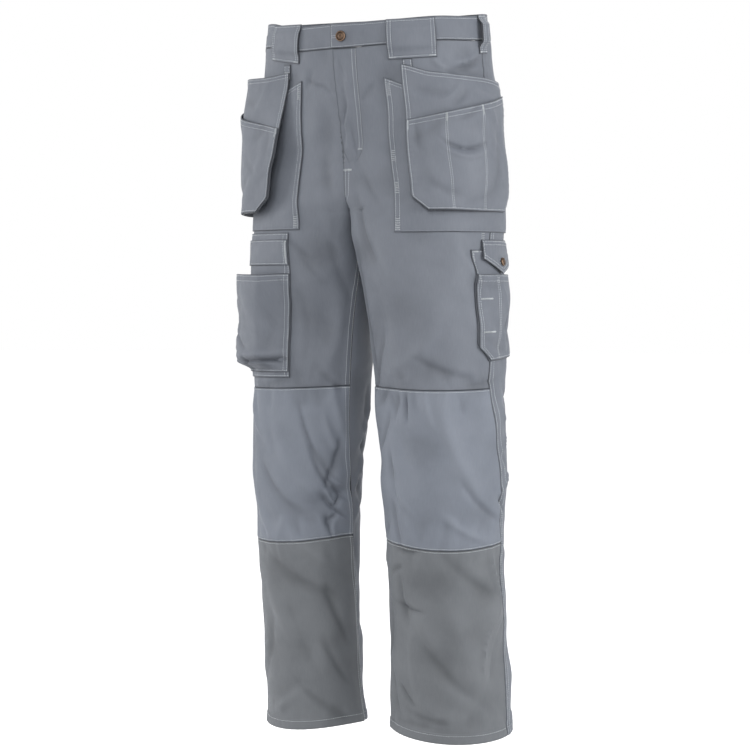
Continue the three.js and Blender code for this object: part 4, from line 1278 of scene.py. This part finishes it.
# Dents of the bellows pocket: bunched at its lower rear corner, slack across its middle
cargoDents = [
    [112, -494, 3, 84, 7, -6.5, 2, 0.6], [46, -492, -46, 40, 9, -6.5, 3, 0.5],
    [84, -500, 60, 26, 9, -6.0, 2, 0.4], [104, -484, 4, 90, 9, 3.2, 2], [28, -484, 24, 50, 10, 3.4, 3],
    [20, -503, 10, 60, 10, 3.0, 3], [34, -392, -66, 60, 9, 2.6, 3, 0.4],
    [66, -452, 58, 46, 8, 2.8, 3, 0.4], [74, -466, -40, 34, 8, -3.0, 2, 0.4],
    [60, -440, 50, 90, 24, -3.0, 8, 0.3], [110, -420, -66, 90, 22, 2.4, 6],
    [40, -410, 80, 70, 22, 2.4, 6], [0, -430, 76, 80, 18, -2.4, 5], [130, -450, 80, 60, 12, -2.0, 4],
]


def cargoEdge(level):
    # Where the front edge of the cargo pocket runs.
    return tableCurve(cargo["front"], 1, level)


def cargoPart(rear, front, top, bottom, **more):
    # A piece of the cargo pocket, set in from its rear and front edges.
    return makePatch(
        "right", lambda v, level: cargoEdge(level) - cargo["wide"] + rear,
        lambda v, level: cargoEdge(level) - front, fixed(top), fixed(bottom), **more,
    )


def bellows(u, v):
    # Two steps up at the rear, like a folded gusset, a slope to the front, and a fall above the bottom seam.
    up = 0.5 * smooth(0.03, 0.08, u) + 0.5 * smooth(0.09, 0.145, u)
    down = 1 - smooth(0.76, 0.935, u)
    return 0.4 + cargo["full"] * up * down * (1 - smooth(0.9, 0.99, v)) * mix(0.9, 1, smooth(0, 0.5, v))


edges = {"rear": (2.6,), "front": (2.6, 8.4), "bottom": (2.6,), "top": (2.6,)}
part = cargoPart(0, 0, cargo["top"], cargo["bottom"], sewn=edges)
addPatch("cargo_base", part)
edges = {"top": (2.4,), "bottom": (2.4,), "rear": (2.4,), "front": (2.4, 7)}
part = cargoPart(1, 1, *cargo["band"], layer=2, sewn=edges)
addPatch("cargo_band", part, step=2.6)
for share in (0.02, 0.98):
    tack("pockets", part["at"], (share, 0.1), (share, 0.9), wide=2.4)
part = cargoPart(
    4, 1, *cargo["pocket"], layer=2, lift=bellows, dents=cargoDents,
    sewn={"top": (2.4, 9), "rear": (2.4,), "front": (2.4, 8.4), "bottom": (2.4,)},
)
addPatch("cargo_pocket", part, step=2.4)

tool = {
    "rear": -74, "chamfer": {"in": 20, "up": 24}, "height": 160, "wide": 122, "full": 4.5,
    "top": -333, "mouth": -368, "bottom": (-486, -493), "penRounds": (15, 35), "penLevels": (-403, -450),
    "front": np.array([[-333, 51], [-368, 46], [-438, 43], [-493, 42]], float),
}
toolDents = [
    [-45, -400, 80, 70, 20, 2.4, 5], [25, -430, 84, 90, 14, 2.0, 4], [10, -470, 20, 60, 12, -1.8, 5],
    [-40, -455, -30, 60, 14, -2.0, 5], [-50, -430, -76, 80, 12, -1.6, 4], [20, -384, 3, 50, 10, -1.4, 3],
    [-18, -410, 64, 44, 7, 2.6, 2, 0.4], [-24, -436, -58, 40, 7, -2.6, 2, 0.4],
    [-16, -462, 60, 36, 7, 2.6, 2, 0.4],
]


def toolFront(v, level):
    # The front edge of the tool pocket, with its corner cut off.
    return tableCurve(tool["front"], 1, level) - cornerCut(v, tool["height"], tool["chamfer"])


def toolLift(u, v):
    # Full as a sine arch across, falling by a soft step to the bottom seam.
    return tool["full"] * np.sin(np.pi * np.clip((u - 0.02) / 0.96, 0, 1)) * (1 - smooth(0.5, 0.9, v))


part = makePatch(
    "left", fixed(tool["rear"]), toolFront, fixed(tool["top"]), lambda u: mix(*tool["bottom"], u),
    sewn={"rear": (2.6,), "front": (2.8,), "bottom": (2.6,), "top": (2.6,)},
)
addPatch("tool_base", part, step=2.6)
inset = [1 - away / tool["wide"] for away in (3, 12, 3.5)]
tack("pockets", part["at"], (inset[0], 0.015), (inset[1], 0.015), wide=3.0, pitch=0.9)
tack("pockets", part["at"], (inset[2], 0.03), (inset[2], 0.1), wide=3.4, pitch=1.6)
part = makePatch(
    "left", fixed(tool["rear"] + 1), lambda v, level: toolFront(v, level) - 1.5, fixed(tool["mouth"]),
    lambda u: mix(tool["bottom"][0] + 1, tool["bottom"][1] + 1, u),
    layer=2, lift=toolLift, dents=toolDents, lines=(0,),
    sewn={"top": (2.4, 10), "rear": (2.6,), "front": (3.4, 7.0), "bottom": (2.6,)},
)
addPatch("tool_pocket", part, step=2.4)
divider(part, 0, 4.0)
for level in tool["penLevels"]:
    v = (level - tool["mouth"]) / (-489 - tool["mouth"])
    start, end = [(at - tool["rear"] - 1) / float(part["wide"](np.array(v))) for at in tool["penRounds"]]
    tack("pockets", part["at"], (start, v), (end, v), wide=2.8, pitch=0.8)

flap = {"rear": -69, "front": 32, "top": -318, "corner": -346, "point": -367, "buttonLevel": -351}


def flapLift(u, v):
    # The flap rises by a soft step from its seam to its point, with a slight wave across.
    rise = 4 * smooth(0.2, 1, v) - 2.1 * (1 - smooth(0, 0.25, v))
    return rise + 0.9 * np.sin(np.pi * 2 * u) * smooth(0.3, 1, v)


flapPart = makePatch(
    "left", fixed(flap["rear"]), fixed(flap["front"]), fixed(flap["top"]),
    lambda u: mix(flap["point"], flap["corner"], np.abs(2 * u - 1)),
    layer=2, lift=flapLift, sewn={"top": (2.4, 7), "rear": (2.4,), "front": (2.6,), "bottom": (2.4, 7)},
)
addPatch("tool_flap", flapPart, step=2.0)


def leftCloth(around, level, out=0.0):
    # The cloth of the left leg as a surface of its own round and level.
    point, normal = onCloth("left", around, level, out)
    return point, normal, around, level


tack("pockets", leftCloth, (flap["front"] - 4, -309), (flap["front"] - 4, -317), wide=7, pitch=1.9)
print("stage 4 of 6: waistband, loops, fly and pockets ready")


# Metal buttons: a domed head with a rolled rim, turned from a profile; and their buttonholes

buttons = {
    "waist_button": {"wide": 15.5, "high": 4.2},
    "flap_button": {"wide": 12.0, "high": 3.6, "share": 0.54},
}
buttonRise = 0.4
buttonProfile = np.array([
    [0.86, 0.0, 0.1], [0.95, 0.1, 0.3], [1.0, 0.28, 0.7], [1.0, 0.5, 1.0], [0.97, 0.72, 1.0],
    [0.92, 0.86, 1.0], [0.86, 0.9, 0.8], [0.8, 0.86, 0.4], [0.75, 0.76, 0.0], [0.71, 0.66, 0.0],
    [0.66, 0.66, 0.0], [0.6, 0.74, 0.1], [0.5, 0.82, 0.25], [0.4, 0.88, 0.35], [0.3, 0.93, 0.4],
    [0.24, 0.95, 0.5], [0.2, 0.9, 0.1], [0.16, 0.86, 0.0], [0.08, 0.86, 0.1],
])  # share of the radius, share of the height, how worn


def addButton(node, point, normal):
    # The profile turned about the normal, closed by fans at its base and its crown.
    size = buttons[node]
    turns = np.linspace(0, 2 * np.pi, 49)[:-1]
    up = normal / np.linalg.norm(normal)
    side = np.cross(up, [0, 0, 1.0])
    side = side / np.linalg.norm(side)
    other = np.cross(up, side)
    reach = buttonProfile[:, 0, None] * size["wide"] / 2
    ring = side * np.cos(turns)[:, None] + other * np.sin(turns)[:, None]
    grid = point + reach[..., None] * ring[None] + (buttonProfile[:, 1] * size["high"])[:, None, None] * up
    rows, cols = grid.shape[:2]
    index = np.arange(rows * cols).reshape(rows, cols)
    around = np.concatenate([index, index[:, :1]], axis=1)
    points = np.concatenate([grid.reshape(-1, 3), point[None], point[None] + up * 0.86 * size["high"]])
    base, crown = rows * cols, rows * cols + 1
    pairs = np.arange(0, cols, 2)
    fans = [
        np.stack([circle[pairs], circle[pairs + 1], circle[pairs + 2], np.full(len(pairs), pole)], -1)
        for circle, pole in ((around[0], base), (around[-1], crown))
    ]
    faces = np.concatenate([quads(around), fans[0], fans[1][:, ::-1]])
    # The wear of the rubbed rim, all that this value holds on a button.
    wearAndHighlight = np.r_[np.repeat(buttonProfile[:, 2], cols), 0, 0]
    piece = makeMesh(node + "_metal", points, faces, copper, wearAndHighlight=wearAndHighlight)
    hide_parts(node)


waistRound = float(roundOf("left", -13, 90)) - 14
point, normal = onCloth("left", waistRound, -12, waistband["proud"] + waistband["lapLift"] + buttonRise)
addButton("waist_button", point, normal)
flapV = (flap["top"] - flap["buttonLevel"]) / (flap["top"] - flap["point"])
point, normal = flapPart["at"](buttons["flap_button"]["share"], flapV, buttonRise)[:2]
addButton("flap_button", point, normal)
hole = 1 - np.array(waistband["hole"]) / waistband["long"]["left"]
for v in (0.5, 0.58):
    sew("waist", bandAt["left"], np.linspace(hole[1], hole[0], 40), v, pitch=1.0, loose=0.05)
for v in (flapV - 0.06, flapV + 0.06):
    sew("pockets", flapPart["at"], np.linspace(0.4, 0.6, 40), v, pitch=1.1, loose=0.05)

for group in threads:
    piece = threadPiece(group, thread)
    print("  sewing", group, len(piece.data.polygons) * 2, "triangles")
print("stage 5 of 6: buttons and sewing ready")


# Floor, light and camera

stage = {"floorLevel": -1.12, "floorWide": 60.0, "skyWhite": 1.0, "skyTop": 0.3, "skyLow": 0.24}
lights = {  # place, aim and size in metres, power in watts
    "softbox_left": {"at": (-3.4, -1.3, 0.5), "aim": (0, 0, -0.5), "size": (1.4, 2.6), "power": 56},
    "softbox_right": {"at": (3.7, 0.3, 0.3), "aim": (0, 0, -0.5), "size": (1.4, 2.6), "power": 84},
    "front_key": {"at": (0.2, -3.6, 2.4), "aim": (0, 0, -0.4), "size": (1.2, 1.0), "power": 38},
    "front_fill": {"at": (2.3, -4.2, 0.9), "aim": (0, 0, -0.5), "size": (1.8, 2.2), "power": 84},
    "back_fill": {"at": (-1.0, 3.8, 1.8), "aim": (0, 0, -0.5), "size": (3.0, 2.0), "power": 60},
}
photoCamera = {
    "at": (2.3177, -3.8573, -0.400), "aim": (0, 0, -0.515),
    "lens": 146.0, "roll": 0.3, "shift": (-4 / 750, 0),
}


def turnTowards(eye, aim, roll=0.0):
    # Columns right, up and backwards for something at eye that looks at aim.
    forward = np.array(aim, float) - np.array(eye, float)
    forward = forward / np.linalg.norm(forward)
    right = np.cross(forward, [0, 0, 1.0])
    right = right / np.linalg.norm(right)
    up = np.cross(right, forward)
    t = np.radians(roll)
    right, up = right * np.cos(t) - up * np.sin(t), up * np.cos(t) + right * np.sin(t)
    matrix = np.eye(4)
    matrix[:3, 0], matrix[:3, 1], matrix[:3, 2], matrix[:3, 3] = right, up, -forward, eye
    return matrix


wide, floor = stage["floorWide"] * 500, stage["floorLevel"] * 1000
corners = np.array([[-wide, -wide, floor], [wide, -wide, floor], [wide, wide, floor], [-wide, wide, floor]])
floorMesh = bpy.data.meshes.new("floor")
floorMesh.from_pydata((corners * 0.001).tolist(), [], [[0, 1, 2, 3]])
floorPiece = addObject("floor", floorMesh)
floorPaint, floorTree, floorShader = newFinish("pale_floor")
setInputs(floorTree, floorShader, {
    "Base Color": (0.72, 0.72, 0.73, 1), "Roughness": 0.9, "Specular IOR Level": 0.1,
    "Emission Color": (1, 1, 1, 1), "Emission Strength": 0.78,
})
floorMesh.materials.append(floorPaint)
floorPiece.visible_diffuse = False  # the floor stays pale without lighting the cloth from below

world = bpy.data.worlds.new("studio")
world.use_nodes = True
sky = world.node_tree
direction = addNode(sky, "ShaderNodeTexCoord", {}).outputs["Generated"]
height = addNode(sky, "ShaderNodeSeparateXYZ", {0: direction}).outputs["Z"]
away = addNode(sky, "ShaderNodeMath", {0: height}, operation="ABSOLUTE").outputs[0]
share = remap(sky, away, 0.16, 0.4, 0.0, 1.0)
upper = remap(sky, height, -0.1, 0.1, 0.0, 1.0)
white, low, top = (opaque([stage[name]] * 3) for name in ("skyWhite", "skyLow", "skyTop"))
far = mixColour(sky, upper, low, top)
sky.links.new(mixColour(sky, share, white, far), sky.nodes["Background"].inputs["Color"])
bpy.context.scene.world = world

for name, look in lights.items():
    lamp = bpy.data.lights.new(name, "AREA")
    lamp.shape = "RECTANGLE"
    lamp.size, lamp.size_y = look["size"]
    lamp.energy = look["power"]
    addObject(name, lamp).matrix_world = turnTowards(look["at"], look["aim"]).T.tolist()

camera = bpy.data.cameras.new("photo_camera")
camera.lens = photoCamera["lens"]
camera.sensor_width = 36
camera.shift_x, camera.shift_y = photoCamera["shift"]
camera.clip_end = 100
cameraHolder = addObject("photo_camera", camera)
view = turnTowards(photoCamera["at"], photoCamera["aim"], photoCamera["roll"])
cameraHolder.matrix_world = view.T.tolist()
bpy.context.scene.camera = cameraHolder
bpy.context.scene.view_settings.view_transform = "Standard"

print("stage 6 of 6: floor, light and camera ready")
